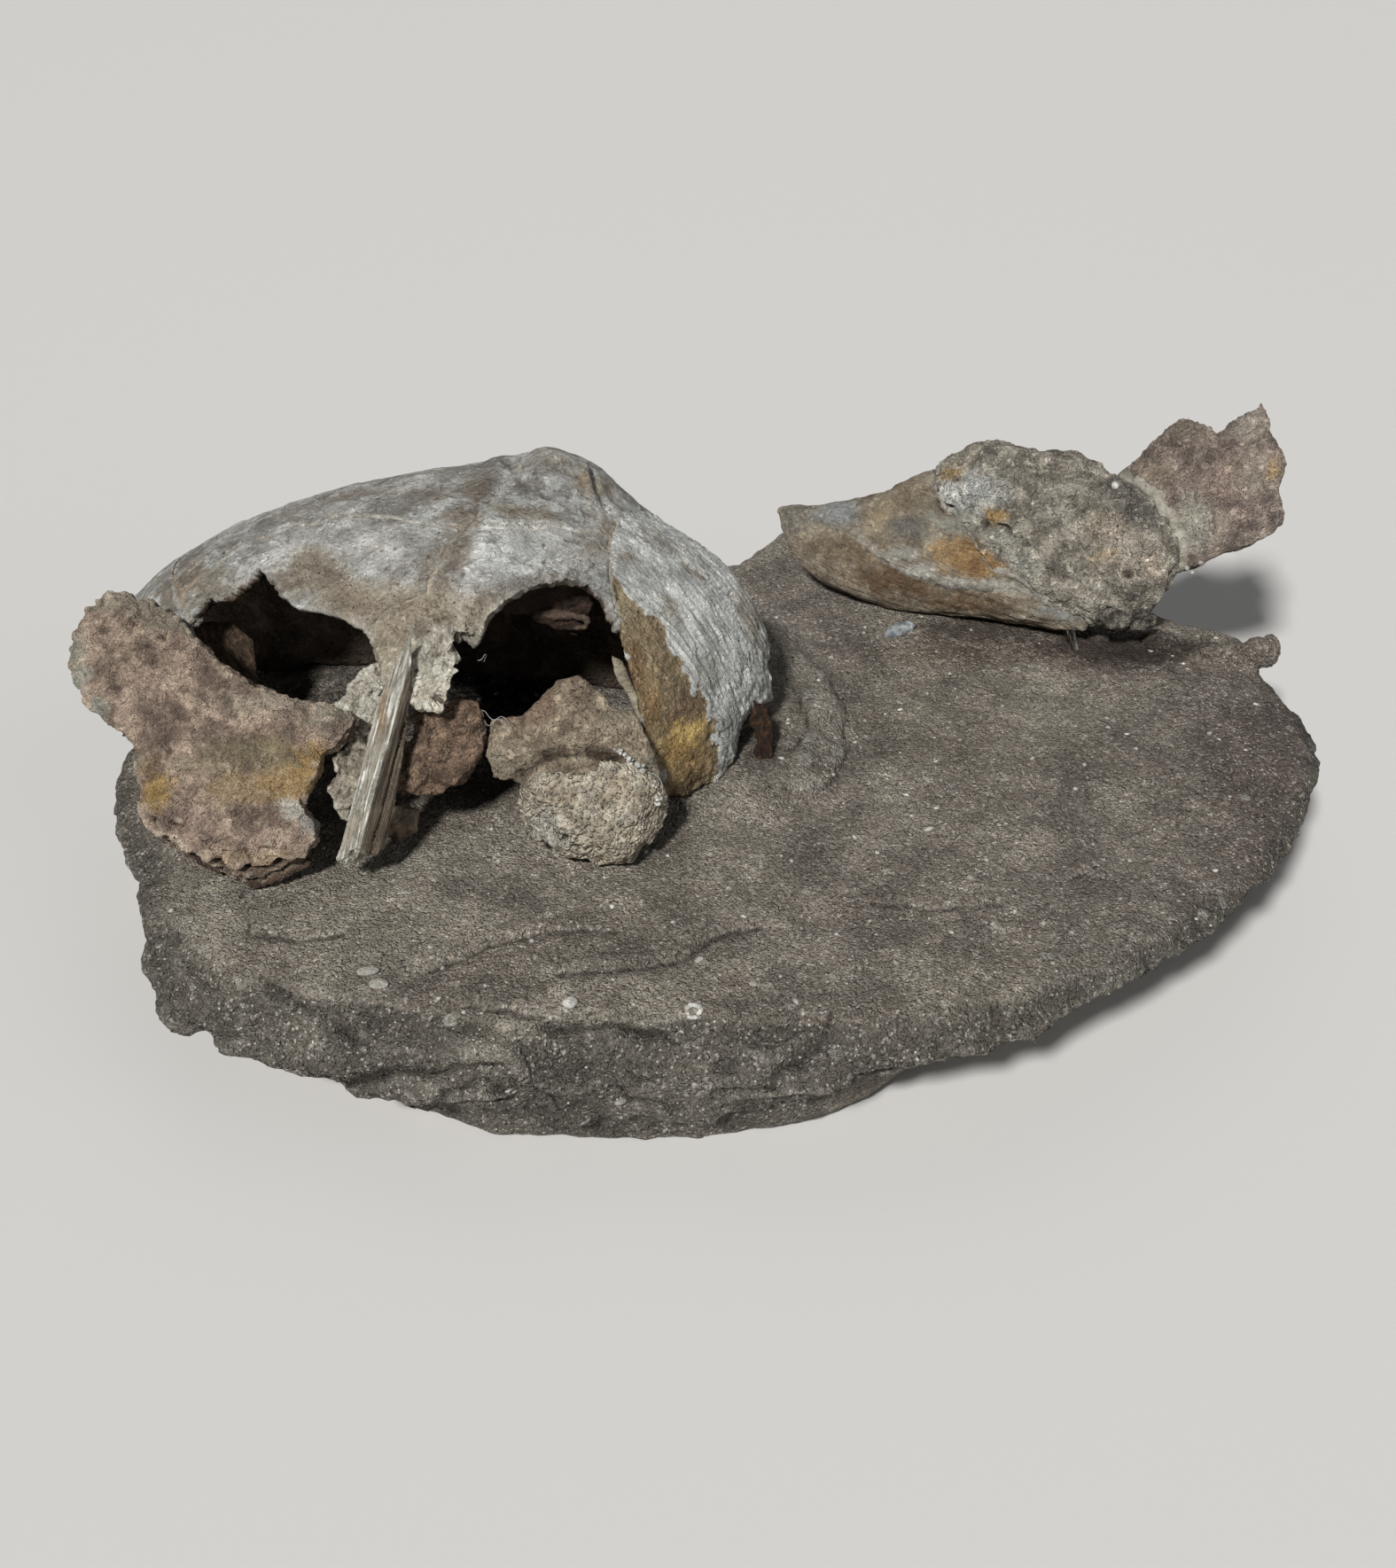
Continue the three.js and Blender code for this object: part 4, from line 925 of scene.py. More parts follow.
ROOF_CRACKS = [
    ([(-46, -18, 83), (-40, -17, 82), (-34, -14, 82.5)], 0.9, 0.35, 0.5),
    ([(-40, -17, 82), (-37, -22, 79)], 0.9, 0.3, 0.4),
    ([(-72, -2, 83), (-66, -8, 83), (-62, -9, 83)], 0.9, 0.3, 0.5),
    ([(-80, 4, 81), (-72, 6, 84), (-66, 4, 85)], 1.0, 0.25, 0.6),
    ([(-34, 4, 85), (-28, -1, 82), (-24, -6, 80)], 1.0, 0.3, 0.5),
]
ROOF_PITS = [
    ((-72.5, -17.5, 79.5), (1.0, 1.0, 1.5), 0.8),
    ((-84.3, -18.6, 76.7), (3.4, 3.4, 3.4), 0.9),
    ((-84.3, -18.6, 76.2), (2.2, 2.2, 2.2), -0.7),
    ((-35.2, -12.2, 82.5), (0.9, 0.9, 1.5), 0.8),
    ((-56, 12, 87), (6, 3.5, 5), 0.4), ((-35.5, 17, 89), (6, 8, 5), -1.3), ((-47.5, 19, 87), (4, 6, 4), -0.7),
    ((-60, 1, 85), (0.8, 0.8, 1.5), 0.5),
    ((-66, -5, 83.5), (0.7, 0.7, 1.5), 0.5),
    ((-80, -8, 79), (0.8, 0.8, 1.5), 0.5),
]


def roof_finish():
    """Smooth grey bone: a dense skin, pitted where it has worn through."""
    bone = Finish("Roof bone", 3.5, 10)
    bone.ground(14, ROOF_GREY, ROOF_PALE)
    bone.lay((0.6, 0.605, 0.58), bone.cloud(6, 8, 0.49, 0.58), 0.8)
    bone.lay((0.19, 0.168, 0.135), bone.cloud(3.4, 8, 0.52, 0.6), 0.6)
    bone.stain(ROOF_STAINS)
    scrapes = bone.strands(ROOF_RUN, 0.7, 14, 0.4, 0.68)
    bone.lay((0.62, 0.62, 0.595), scrapes, 0.25)
    bone.lay((0.2, 0.17, 0.13), bone.strands(ROOF_RUN, 1.0, 16, 0.54, 0.68), 0.35)
    wrinkles = bone.group(WRINKLES, 230.0, 0.016, Mask=((0.13, 0.105, 0.08), 0.6))
    pores = bone.group(PORES, 700.0, 0.16)
    pins = bone.group(PORES, 1700.0, 0.3)
    cracks = bone.group(CRACKS, 60.0, 0.016)
    bone.lay((0.11, 0.085, 0.06), pores["Mask"], 0.7)
    bone.lay((0.16, 0.13, 0.1), pins["Mask"], 0.45)
    bone.lay((0.13, 0.105, 0.08), cracks["Mask"], 0.45)
    bone.hollows_and_ridges(((0.095, 0.07, 0.048), 0.6, 0.92, 0.85), ((0.58, 0.57, 0.53), 0.44, 0.15, 0.5))
    grit = bone.group(SAND, 1500.0)
    sandy = bone.noted("sandy", 0.2, 0.7)
    bone.lay(ROOF_SAND, sandy, 0.75)
    bone.lay((0.52, 0.48, 0.4), grit["Bright"], sandy)
    bone.lay((0.1, 0.08, 0.055), grit["Dark"], sandy)
    bone.lay((0.15, 0.105, 0.068), bone.noted("rim", 0.35, 0.9), 0.5)
    # Painted shade: the undersides of the plates and their faces inside the skull are darkened.
    bone.lay((0.13, 0.085, 0.052), bone.noted("painted_underside_shade", 0.35, 0.7))
    bone.lay((0.022, 0.016, 0.011), bone.noted("inside", 0.55, 0.85))
    bone.press(bone.cloud(3.0, 6), 0.7)
    bone.press(scrapes, 0.1)
    bone.press(bone.scale(pores["Mask"], -1), 0.25)
    bone.press(bone.scale(cracks["Mask"], -1), 0.15)
    bone.press(bone.scale(wrinkles["Mask"], -1), 0.15)
    bone.press(bone.cloud(0.9, 5), 0.36)
    bone.press(bone.scale(grit["Height"], sandy), 0.2)
    return bone.finish(between(bone.tree, bone.cloud(6), 0, 1, 0.52, 0.75), 0.35, 9.0, 0.26)


roof_bone = roof_finish()
for node, name in [
        ("right_frontal", "frontal_right"), ("left_frontal", "frontal_left"), ("right_parietal", "parietal_right"),
        ("left_parietal", "parietal_left"), ("right_postorbital", "postorbital_right"),
        ("supraoccipital_crest", "crest")]:
    plate = cast_of(node, name, 0.5, 0.12)
    settle(plate, 70)
    points, normals, _ = skin_of(plate)
    rim = np.maximum(near(points, RIGHT_EYE_RIM, 7), near(points, LEFT_EYE_RIM, 4.5))
    sandy = np.maximum(near(points, BRIDGE_LINE, 9), near(points, RIGHT_EYE_RIM[4:], 8))
    out = points - BONE_HEART
    out /= np.linalg.norm(out, axis=1)[:, None]
    inner = np.clip(0.2 - (out * normals).sum(1) * 1.5, 0, 1)
    thick = np.maximum(near(points, RIGHT_EYE_RIM, 12), near(points, LEFT_EYE_RIM, 9))
    points -= out * (inner * np.clip(thick * 2, 0, 1) * RIM_THICKER)[:, None]
    set_skin(plate, points)
    roughen(plate, SKULL_WAVE, (3.2, 0.7, 3))
    roughen(plate, (2.4, 2.4, 3), where=rim)
    roughen(plate, (1.2, 1.1, 2), where=rim)
    roughen(plate, CRUMBLE, where=near(points, BRIDGE_LINE, 7) * 0.9)
    carve(plate, SEAM_GROOVES + ROOF_CRACKS, seed=20)
    dent(plate, ROOF_PITS)
    note_hollows(plate, 3, 2.0)
    note_shade_inside(plate)
    note(plate, "rim", rim)
    note(plate, "sandy", sandy)
    place_piece(plate, roof_bone, "roof_bone", node)

# ---- The bridge between the eye sockets ----
# Crumbly spongy bone, its skin gone, so it is all knobs and holes. It hangs from the front edge of the roof,
# between the two sockets, with sand packed along its upper edge.
BRIDGE_LOBES = [((-52.0, -34.0, 72.6), (6.0, 4.0, 3.6)), ((-49.2, -32.4, 73.8), (5.0, 4.0, 3.2)),
                ((-54.6, -38.2, 68.6), (4.4, 3.6, 5.0))]
bridge = cast_of("nasal_bridge", "bridge_of_snout", 0.4, 0.15)
pick(*[pebble(place, size, (0, 0, 0.3), 3, 20 + n) for n, (place, size) in enumerate(BRIDGE_LOBES)], bridge)
bpy.ops.object.join()
even_skin(bridge, 0.4)
settle(bridge, 20)
roughen(bridge, SKULL_WAVE, CRUMBLE)
points = skin_of(bridge)[0]
loose = np.clip((points[:, 0] + 60) / 3, 0, 1) * (1 - near(points, BRIDGE_LINE, 4))
knap(bridge, 120, 2.6, 0.6, 28, loose)
roughen(bridge, (2.2, 0.9, 3), where=loose)
roughen(bridge, (1.0, 0.6, 2))
carve(bridge, [([(-58.5, -28.5, 77.3), (-56, -32, 75.2), (-52.5, -30.5, 75.8), (-49.2, -32.4, 74.4)], 1.4, 0.9, 0.8),
               ([(-59, -31, 75.6), (-58.5, -36, 71.6), (-59.5, -41, 67)], 1.3, 0.8, 0.8)], seed=30)
note_hollows(bridge, 2, 2.2)
note_shade_inside(bridge)
sponge = Finish("Crumbly bone", 2, 5)
sponge.ground(3.2, (0.4, 0.362, 0.288), (0.64, 0.615, 0.525))
sponge.stain([
    ((-66, -33, 72), (7.5, 8, 10), (0.3, 0.255, 0.19), 0.95),
    ((-60, -28.5, 77), (13, 6.5, 5.5), (0.285, 0.242, 0.18), 1.0),
    ((-62, -38, 68), (4, 6, 5), (0.27, 0.225, 0.165), 0.7),
    ((-74, -44, 50), (12, 10, 18), (0.285, 0.25, 0.19), 0.85),
    ((-47, -38, 72), (3, 9, 12), (0.26, 0.195, 0.12), 0.7),
])
sponge_sand = sponge.group(SAND, 1500.0)
sponge_holes = sponge.group(PORES, 900.0, 0.16)
sponge.lay((0.12, 0.09, 0.06), sponge_sand["Dark"], 0.4)
sponge.lay((0.14, 0.11, 0.075), sponge_holes["Mask"], 0.6)
sponge.hollows_and_ridges(((0.07, 0.05, 0.032), 0.58, 0.9, 0.9), ((0.66, 0.63, 0.54), 0.42, 0.15, 0.55))
# Painted shade on the faces inside the skull.
sponge.lay((0.022, 0.016, 0.011), sponge.noted("inside", 0.6, 0.9))
sponge.press(sponge_holes["Mask"], -0.3)
sponge.press(sponge.cloud(1.2, 5), 0.5)
sponge.press(sponge_sand["Height"], 0.12)
crumbly_bone = sponge.finish(0.85, 0.25)
place_piece(bridge, crumbly_bone, "crumbly_bone", "nasal_bridge")

# ---- The left cheek ----
# One long bone from the roof down to the jaw joint. Its skin has split into white fibres that run down it, and
# ochre fills the worn lower end and the rim of the eye socket.
CHEEK_RUN = (0.57, -0.22, -0.79)
CHEEK_WHITE = (0.71, 0.712, 0.68)
CHEEK_BLUE = (0.39, 0.4, 0.375)
CHEEK_BAND = [
    # along the rim of the eye socket, with its half width
    (-23, -15.5, 75, 3.2), (-19.2, -21, 69.7, 5.0), (-14.6, -24.5, 63.5, 7.2), (-12.6, -27.6, 56.3, 7.6),
    (-8.2, -28.4, 47.5, 9.2), (-6.6, -29.6, 41, 8.5), (-5.2, -30.8, 36.5, 8.3),
]
CHEEK_STAINS = [
    # in the band
    ((-20, -19, 72), (4, 6, 4), (0.36, 0.3, 0.19), 0.8),
    ((-12, -22, 63), (4, 5, 5), (0.2, 0.155, 0.095), 0.85),
    ((-17, -28, 63), (3, 5, 6), (0.26, 0.16, 0.075), 0.85),
    ((-9, -26, 56), (6, 6, 5), (0.175, 0.13, 0.08), 0.85),
    ((-14, -31, 55), (2.5, 5, 7), (0.3, 0.19, 0.085), 0.85),
    ((-6, -26, 51.5), (7, 6, 3.0), (0.185, 0.125, 0.07), 0.85),
    ((-8, -30, 45.5), (8, 8, 5), (0.4, 0.26, 0.095), 0.95),
    ((-6, -27, 48), (5, 5, 2.2), (0.56, 0.4, 0.15), 0.9),
    ((-6, -30, 40), (8, 8, 4), (0.27, 0.18, 0.08), 0.9),
    ((-7, -33, 36), (9, 6, 2.6), (0.12, 0.075, 0.04), 0.95),
]
CHEEK_MARKS = [
    # on the white part
    ((3.5, -17, 41), (2.5, 5, 9), (0.36, 0.37, 0.36), 0.7),
    ((-2, -19, 57), (4, 5, 6), (0.31, 0.32, 0.27), 0.7),
    ((-10, -14, 68), (3, 4, 5), (0.33, 0.29, 0.21), 0.6),
    ((7, 3, 56), (5, 8, 10), (0.3, 0.26, 0.2), 0.7),
    ((-12, 4, 76), (10, 5, 4), (0.3, 0.27, 0.22), 0.6),
    ((2, -20, 34), (5, 6, 3), (0.2, 0.14, 0.08), 0.85),
    ((-18, -8, 79), (4, 4, 3), (0.22, 0.18, 0.12), 0.7),
    ((-4, 0, 71), (9, 2.5, 3), (0.22, 0.17, 0.105), 0.7),
]
CHEEK_STRANDS = [
    ([(-14, -9, 75), (-9, -13, 70), (-3, -17, 60), (0, -19, 52)], 1.5, 0.6, 0.4),
    ([(-17, -3, 77), (-10, -7, 74), (-2, -11, 66), (3, -15, 54)], 1.4, 0.5, 0.4),
    ([(-9, 1, 74), (-2, -4, 68), (4, -9, 58), (6, -13, 48)], 1.4, 0.5, 0.5),
    ([(-6, -13, 67), (-2, -16, 60), (1, -18, 50)], 1.2, 0.5, 0.4),
    ([(-3, 3, 69), (4, -3, 60), (7, -9, 50)], 1.3, 0.45, 0.5),
    ([(-12, -5, 75), (-5, -9, 69), (1, -13, 60)], 1.2, 0.45, 0.4),
    ([(-8, -16, 66.5), (-4, -19, 59), (-1.5, -21, 52)], 1.2, 0.5, 0.4),
    ([(-6, 5, 72), (2, 1, 64), (7, -4, 55)], 1.6, 0.6, 0.5),
    ([(-22, 3, 80.5), (-13, 0, 76.5), (-4, 1, 70.5), (4, 3, 62)], 2.4, 1.0, 0.6),
]
cheek = cast_of("left_postorbital", "cheek_left", 0.5, 0.12)
settle(cheek, 60)
points, normals, _ = skin_of(cheek)
path = drawn(CHEEK_BAND, 0, 0)
share = np.min(np.linalg.norm(points[:, None] - path[None, :, :3], axis=2) / path[None, :, 3], axis=1)
rag = np.array([noise.fractal(Vector(p) / 4.5, 0.8, 2.0, 4) for p in points])
band = np.clip((1.05 - share + rag * 0.34) / 0.16, 0, 1)
points -= normals * (band * 0.4)[:, None]
set_skin(cheek, points)
low_end = np.clip((44 - points[:, 2]) / 6, 0, 1)
roughen(cheek, SKULL_WAVE)
roughen(cheek, (1.3, 1.3, 2), along=CHEEK_RUN, stretch=16, where=(1 - low_end) * (1 - band))
roughen(cheek, (0.9, 0.7, 1), along=CHEEK_RUN, stretch=10, where=1 - band)
roughen(cheek, (1.6, 1.1, 3), where=np.maximum(band, low_end))
roughen(cheek, (2.0, 1.4, 3), where=np.clip((41 - points[:, 2]) / 3, 0, 1))
carve(cheek, CHEEK_STRANDS, seed=40)
dent(cheek, [((-1.3, -24.7, 44.4), (1.2, 1.2, 1.2), 1.6), ((-9, -30, 42), (3, 3, 3), 0.6)])
note_hollows(cheek, 2, 2.2)
note_shade_inside(cheek)
note(cheek, "band", band)
fibrous = Finish("Cheek bone", 2.5, 7)
cheek_fibres = fibrous.strands(CHEEK_RUN, 0.55, 22)
in_band = fibrous.noted("band", 0.2, 0.8)
fibrous.ground(7, CHEEK_BLUE, CHEEK_WHITE)
fibrous.lay((0.72, 0.722, 0.695), cheek_fibres, 0.5)
fibrous.lay((0.2, 0.2, 0.188), fibrous.strands(CHEEK_RUN, 1.0, 20, 0.5, 0.7), 0.65)
fibrous.stain(CHEEK_MARKS)
fibrous.lay((0.275, 0.208, 0.118), in_band)
fibrous.lay((0.34, 0.285, 0.19), fibrous.cloud(2.5, 6, 0.5, 0.66), fibrous.scale(in_band, 0.7))
fibrous.stain(CHEEK_STAINS, in_band)
cheek_pores = fibrous.group(PORES, 1100.0, 0.45)
cheek_sand = fibrous.group(SAND, 1600.0)
fibrous.lay((0.1, 0.062, 0.032), cheek_pores["Mask"], fibrous.scale(in_band, 0.8))
fibrous.lay((0.5, 0.42, 0.28), cheek_sand["Bright"], fibrous.scale(in_band, 0.7))
fibrous.hollows_and_ridges(((0.15, 0.115, 0.075), 0.6, 0.95, 0.8))
fibrous.lay((0.6, 0.6, 0.57), fibrous.scale(fibrous.noted("hollow", 0.42, 0.1), 0.5),
            sums(fibrous.tree, "SUBTRACT", 1.0, in_band))
# Painted shade on the faces inside the skull.
fibrous.lay((0.03, 0.02, 0.012), fibrous.noted("inside", 0.6, 0.9))
fibrous.press(cheek_fibres, 0.5)
fibrous.press(fibrous.scale(cheek_pores["Mask"], -1), 0.22)
fibrous.press(fibrous.scale(cheek_sand["Height"], in_band), 0.2)
fibrous.press(fibrous.cloud(1.0, 4), 0.3)
place_piece(cheek, fibrous.finish(0.68, 0.35), "cheek_bone", "left_postorbital")

# ---- The sand in the seams of the skull ----
# Fine brown sand has packed the seams between the bones, a little below their skin. It has set hard there and
# holds the bones together.
SEAM_GRAIN = 0.75


def seam_sand(name, bones, heart, reach, depth):
    """Fills the seams wherever two bones lie within a reach of each other, to so deep below their outer skin."""
    skins = [skin_of(bone)[0] for bone in bones]
    centres = []
    for number, skin in enumerate(skins[:-1]):
        tree = KDTree(len(skin))
        for i, place in enumerate(skin):
            tree.insert(place, i)
        tree.balance()
        for other in skins[number + 1:]:
            beside = np.all((other > skin.min(0) - reach) & (other < skin.max(0) + reach), axis=1)
            for place in other[beside]:
                close, _, gap = tree.find(place)
                if gap < reach:
                    centres.append((place + np.array(close)) / 2)
    centres = np.unique(np.round(np.array(centres) / 0.5), axis=0) * 0.5
    away = centres - np.array(heart)
    centres -= away / np.linalg.norm(away, axis=1)[:, None] * depth
    corners = np.array([(1, 0, 0), (-1, 0, 0), (0, 1, 0), (0, -1, 0), (0, 0, 1), (0, 0, -1)]) * SEAM_GRAIN
    sides = [(0, 2, 4), (2, 1, 4), (1, 3, 4), (3, 0, 4), (2, 0, 5), (1, 2, 5), (3, 1, 5), (0, 3, 5)]
    lumps = bpy.data.meshes.new(name)
    lumps.from_pydata((centres[:, None] + corners).reshape(-1, 3) * MM, [],
                      [tuple(6 * n + c for c in side) for n in range(len(centres)) for side in sides])
    sand = bpy.data.objects.new(name, lumps)
    bpy.context.scene.collection.objects.link(sand)
    even_skin(sand, 0.4)
    return sand


skull_sand = seam_sand("sand_in_seams", [bpy.data.objects[name] for name in (
    "frontal_right", "frontal_left", "parietal_right", "parietal_left", "postorbital_right", "bridge_of_snout",
    "cheek_left")], BONE_HEART, 2.6, 0.6)
seam_fill = Finish("Seam sand", 2, 5)
seam_fill.ground(3, (0.205, 0.188, 0.158), (0.315, 0.298, 0.262))
seam_fill.stain(ROOF_STAINS + [((-61, -30, 76), (14, 7, 6), (0.275, 0.232, 0.172), 1.0)])
fill_grains = seam_fill.group(SAND, 1900.0, Bright=((0.36, 0.32, 0.26), 0.3))
seam_fill.press(fill_grains["Height"], 0.2)
packed_sand = seam_fill.finish(0.9, 0.25)
place_piece(skull_sand, packed_sand, "roof_bone")

# ---- The right upper jaw bone ----
# A broad plate, mauve-brown and granular, with yellow and orange iron stains. It stands on the slab on its lower
# edge, which is broken through its layers.
JAW_BONE_STAINS = [
    ((-121.5, -16, 72), (8, 5, 2.6), (0.235, 0.2, 0.15), 0.95),
    ((-113, -21, 70.5), (7, 5, 2.4), (0.235, 0.2, 0.15), 0.95),
    ((-112.1, -48.2, 46.2), (4, 4, 4.5), (0.47, 0.305, 0.11), 0.9),
    ((-114, -44, 49.5), (3, 3, 3), (0.34, 0.235, 0.12), 0.6),
    ((-81.4, -46.4, 52.2), (7, 5, 4.5), (0.42, 0.27, 0.105), 0.95),
    ((-86, -49.5, 49.2), (9, 5, 4.5), (0.38, 0.255, 0.115), 0.9),
    ((-95, -46, 53.5), (13, 5, 5), (0.27, 0.225, 0.14), 0.85),
    ((-96, -50.5, 49), (7, 4, 4), (0.31, 0.22, 0.125), 0.8),
    ((-89, -44, 55), (6, 4, 3), (0.3, 0.25, 0.155), 0.7),
    ((-104, -46, 51), (7, 4, 3), (0.28, 0.235, 0.16), 0.6),
    ((-83.5, -53, 45.5), (3.6, 3, 4), (0.58, 0.555, 0.48), 0.9),
    ((-79.5, -53, 43), (3, 5, 5.5), (0.27, 0.265, 0.245), 0.9),
    ((-131.7, -21.3, 65), (3, 4, 5), (0.36, 0.35, 0.285), 0.95),
    ((-130.8, -27.2, 60.3), (3.2, 4, 5), (0.34, 0.345, 0.285), 0.95),
    ((-126.0, -33.5, 56.5), (3.0, 3.5, 4.5), (0.35, 0.345, 0.285), 0.95),
    ((-121.8, -38.5, 52.4), (2.4, 3, 4.5), (0.33, 0.315, 0.25), 0.9),
    ((-117.8, -43, 48.5), (2.2, 3, 4), (0.32, 0.295, 0.22), 0.85),
    ((-112.6, -37.6, 58.3), (5, 4, 5), (0.185, 0.13, 0.108), 0.7),
    ((-106.3, -53.0, 42.5), (6, 4, 3), (0.205, 0.145, 0.125), 0.7),
    ((-122, -27, 64), (5, 5, 4), (0.37, 0.285, 0.215), 0.7),
    ((-90, -60, 37.5), (14, 4, 2.2), (0.38, 0.29, 0.175), 0.7),
    ((-92, -37, 61), (12, 4, 2.2), (0.32, 0.285, 0.225), 0.7),
    ((-77.7, -39, 59), (6, 5, 4), (0.3, 0.275, 0.215), 0.8),
]
JAW_BONE_GROOVES = [
    ([(-112, -50, 41.5), (-104, -55.5, 39.5), (-96, -58.5, 38.6), (-86, -58, 40)], 2.0, 1.3, 0.7),
    ([(-110, -47, 44.5), (-100, -54, 42.5), (-90, -57, 41.5)], 1.5, 0.7, 0.9),
    ([(-96, -53.2, 45.3), (-92, -53.4, 45.5), (-89, -53.5, 45.8)], 1.1, 1.0, 0.2),
    ([(-89.0, -52.0, 47.1), (-85.7, -49.1, 49.8)], 0.9, 0.8, 0.2),
    ([(-88.5, -53.5, 45.2), (-84, -50, 49)], 0.8, 0.6, 0.2),
    ([(-128, -28, 61), (-123, -35, 55.5), (-118.5, -40.5, 51)], 1.8, 0.8, 0.8),
    ([(-123, -18, 70.2), (-117, -22, 69), (-111, -25, 68)], 1.5, 0.9, 0.8),
    ([(-114, -46, 48), (-108, -49.5, 46), (-100, -52, 46)], 1.2, 0.6, 0.7),
]
LOW_LEDGE = [
    # the lower edge of the front plate from left to right, and its height
    (-118, 44.5), (-114, 41.0), (-106.5, 38.6), (-98.9, 36.6), (-95.3, 35.8), (-91, 36.6), (-86.5, 37.6), (-81.9, 38.4),
    (-76, 40.5),
]
TOP_BAR = [(-127, -12, 71), (-120, -13.5, 73), (-114, -15.5, 73), (-109, -19, 71.5), (-105, -21, 69.5)]
maxilla = cast_of("right_maxilla", "upper_jaw_right", 0.5)
settle(maxilla, 8)
knap(maxilla, 170, 3.2, 0.35, 62)
points, normals, _ = skin_of(maxilla)
ledge_x, ledge_z = np.array(LOW_LEDGE).T
rag = np.array([noise.noise(Vector((x / 3.5, z / 9, 4.2))) for x, _, z in points])
under = np.clip((np.interp(points[:, 0], ledge_x, ledge_z) + rag * 1.4 - points[:, 2]) / 0.9, 0, 1)
points[:, 1] += under * np.clip(-normals[:, 1] * 2 + 0.4, 0, 1) * (2.6 + rag)
set_skin(maxilla, points)
low_edge = np.clip((41 - points[:, 2]) / 4, 0, 1)
top_edge = np.clip((points[:, 2] - 58) / 5, 0, 1)
roughen(maxilla, (12, 1.6, 2), (4.0, 2.4, 4), (1.6, 1.3, 2))
roughen(maxilla, (2.4, 1.5, 3), where=low_edge)
roughen(maxilla, (2.4, 0.8, 3), where=top_edge)
roughen(maxilla, (2.6, 2.0, 3), where=near(skin_of(maxilla)[0], TOP_BAR, 7))
carve(maxilla, JAW_BONE_GROOVES, seed=60)
dent(maxilla, [((-81.5, -51, 47.8), (1.6, 1.6, 1.6), -0.9), ((-84, -53.5, 44.5), (4, 4, 5), 0.7)])
note_hollows(maxilla, 3, 1.7)
note(maxilla, "painted shade under ledge", under)
points = skin_of(maxilla)[0]
note(maxilla, "top bar", near(points, TOP_BAR, 6.5))
stained = Finish("Stained bone", 3, 8)
stained.ground(6, (0.28, 0.205, 0.16), (0.485, 0.37, 0.285))
stained.lay((0.47, 0.37, 0.285), stained.cloud(2.5, 6, 0.5, 0.66), 0.6)
stained.lay((0.165, 0.118, 0.098), stained.cloud(1.7, 5, 0.54, 0.68), 0.6)
stained.stain(JAW_BONE_STAINS)
in_bar = stained.noted("top bar", 0.12, 0.45)
stained.lay((0.34, 0.297, 0.232), in_bar, 0.85)
stained.lay((0.17, 0.14, 0.1), stained.cloud(2.0, 5, 0.5, 0.62), in_bar)
stained_sand = stained.group(SAND, 2100.0, Dark=((0.1, 0.07, 0.055), 0.55), Bright=((0.54, 0.47, 0.38), 0.55))
# Painted shade in the recess under the broken ledge.
stained.lay((0.115, 0.085, 0.06), stained.noted("painted shade under ledge", 0.3, 0.8), 0.75)
stained.hollows_and_ridges(((0.075, 0.048, 0.034), 0.6, 0.95, 0.85), ((0.6, 0.5, 0.39), 0.42, 0.1, 0.65))
stained.press(stained.cloud(2.4, 8), 1.1)
stained.press(stained.cloud(0.8, 4), 0.42)
stained.press(stained_sand["Height"], 0.26)
stained_bone = stained.finish(0.8, 0.3, 6.0, 0.3)
place_piece(maxilla, stained_bone, "stained_bone", "right_maxilla")

# ---- The broken palate ----
# A long splinter of cream bone stands in front of the bridge. Behind it lie a pale broken piece of the right
# palate, a reddish granular lump and a small chip.
SPLINTER_FOOT = (-73.0, -59.7, 32.8)
SPLINTER_HEAD = (-59.6, -38.3, 74.8)
SPLINTER_RUN = tuple(np.array(SPLINTER_HEAD) - np.array(SPLINTER_FOOT))
SPLINTER_FRONT = -2.1


def along_splinter(share, aside):
    """A point on the front of the splinter, at a share of its length and so far aside, in millimetres."""
    foot, head = np.array(SPLINTER_FOOT), np.array(SPLINTER_HEAD)
    return tuple(foot + (head - foot) * share + np.array((aside, 0, 0)))


splinter = cast_of("bone_splinter", "splinter", 0.35)
settle(splinter, 3)
points = skin_of(splinter)[0]
run = np.array(SPLINTER_RUN) / np.linalg.norm(SPLINTER_RUN)
up = (points - np.array(SPLINTER_FOOT)) @ run / np.linalg.norm(SPLINTER_RUN)
middle = np.array(SPLINTER_FOOT) + np.outer(up, SPLINTER_RUN)
thin = np.clip((up - 0.72) / 0.3, 0, 1) ** 1.5 * 0.8
points += (middle + np.array((-0.6, -1.0, 0)) - points) * thin[:, None]
aside = np.array((1.0, 0, 0)) - run * run[0]
aside /= np.linalg.norm(aside)
back = np.cross(run, aside)
off = points - middle
out = off @ aside - 0.4 * (1 - thin)
need = np.clip(SPLINTER_FRONT * (1 - thin) + out * 1.0 - off @ back, 0, None) * (out > 0)
points += back * need[:, None]
points += run * (np.clip((up - 0.75) / 0.25, 0, 1) * 4.0)[:, None]
set_skin(splinter, points)
# The right face turns from the light; the material darkens it as painted shade.
shaded_right_face = np.clip(out / 0.5 + 0.3, 0, 1)
knap(splinter, 14, 5, 0.5, 82, np.clip((0.08 - up) * 20, 0, 1))
roughen(splinter, (1.3, 1.4, 2), along=SPLINTER_RUN, stretch=40)
roughen(splinter, (0.7, 0.6, 1), along=SPLINTER_RUN, stretch=26)
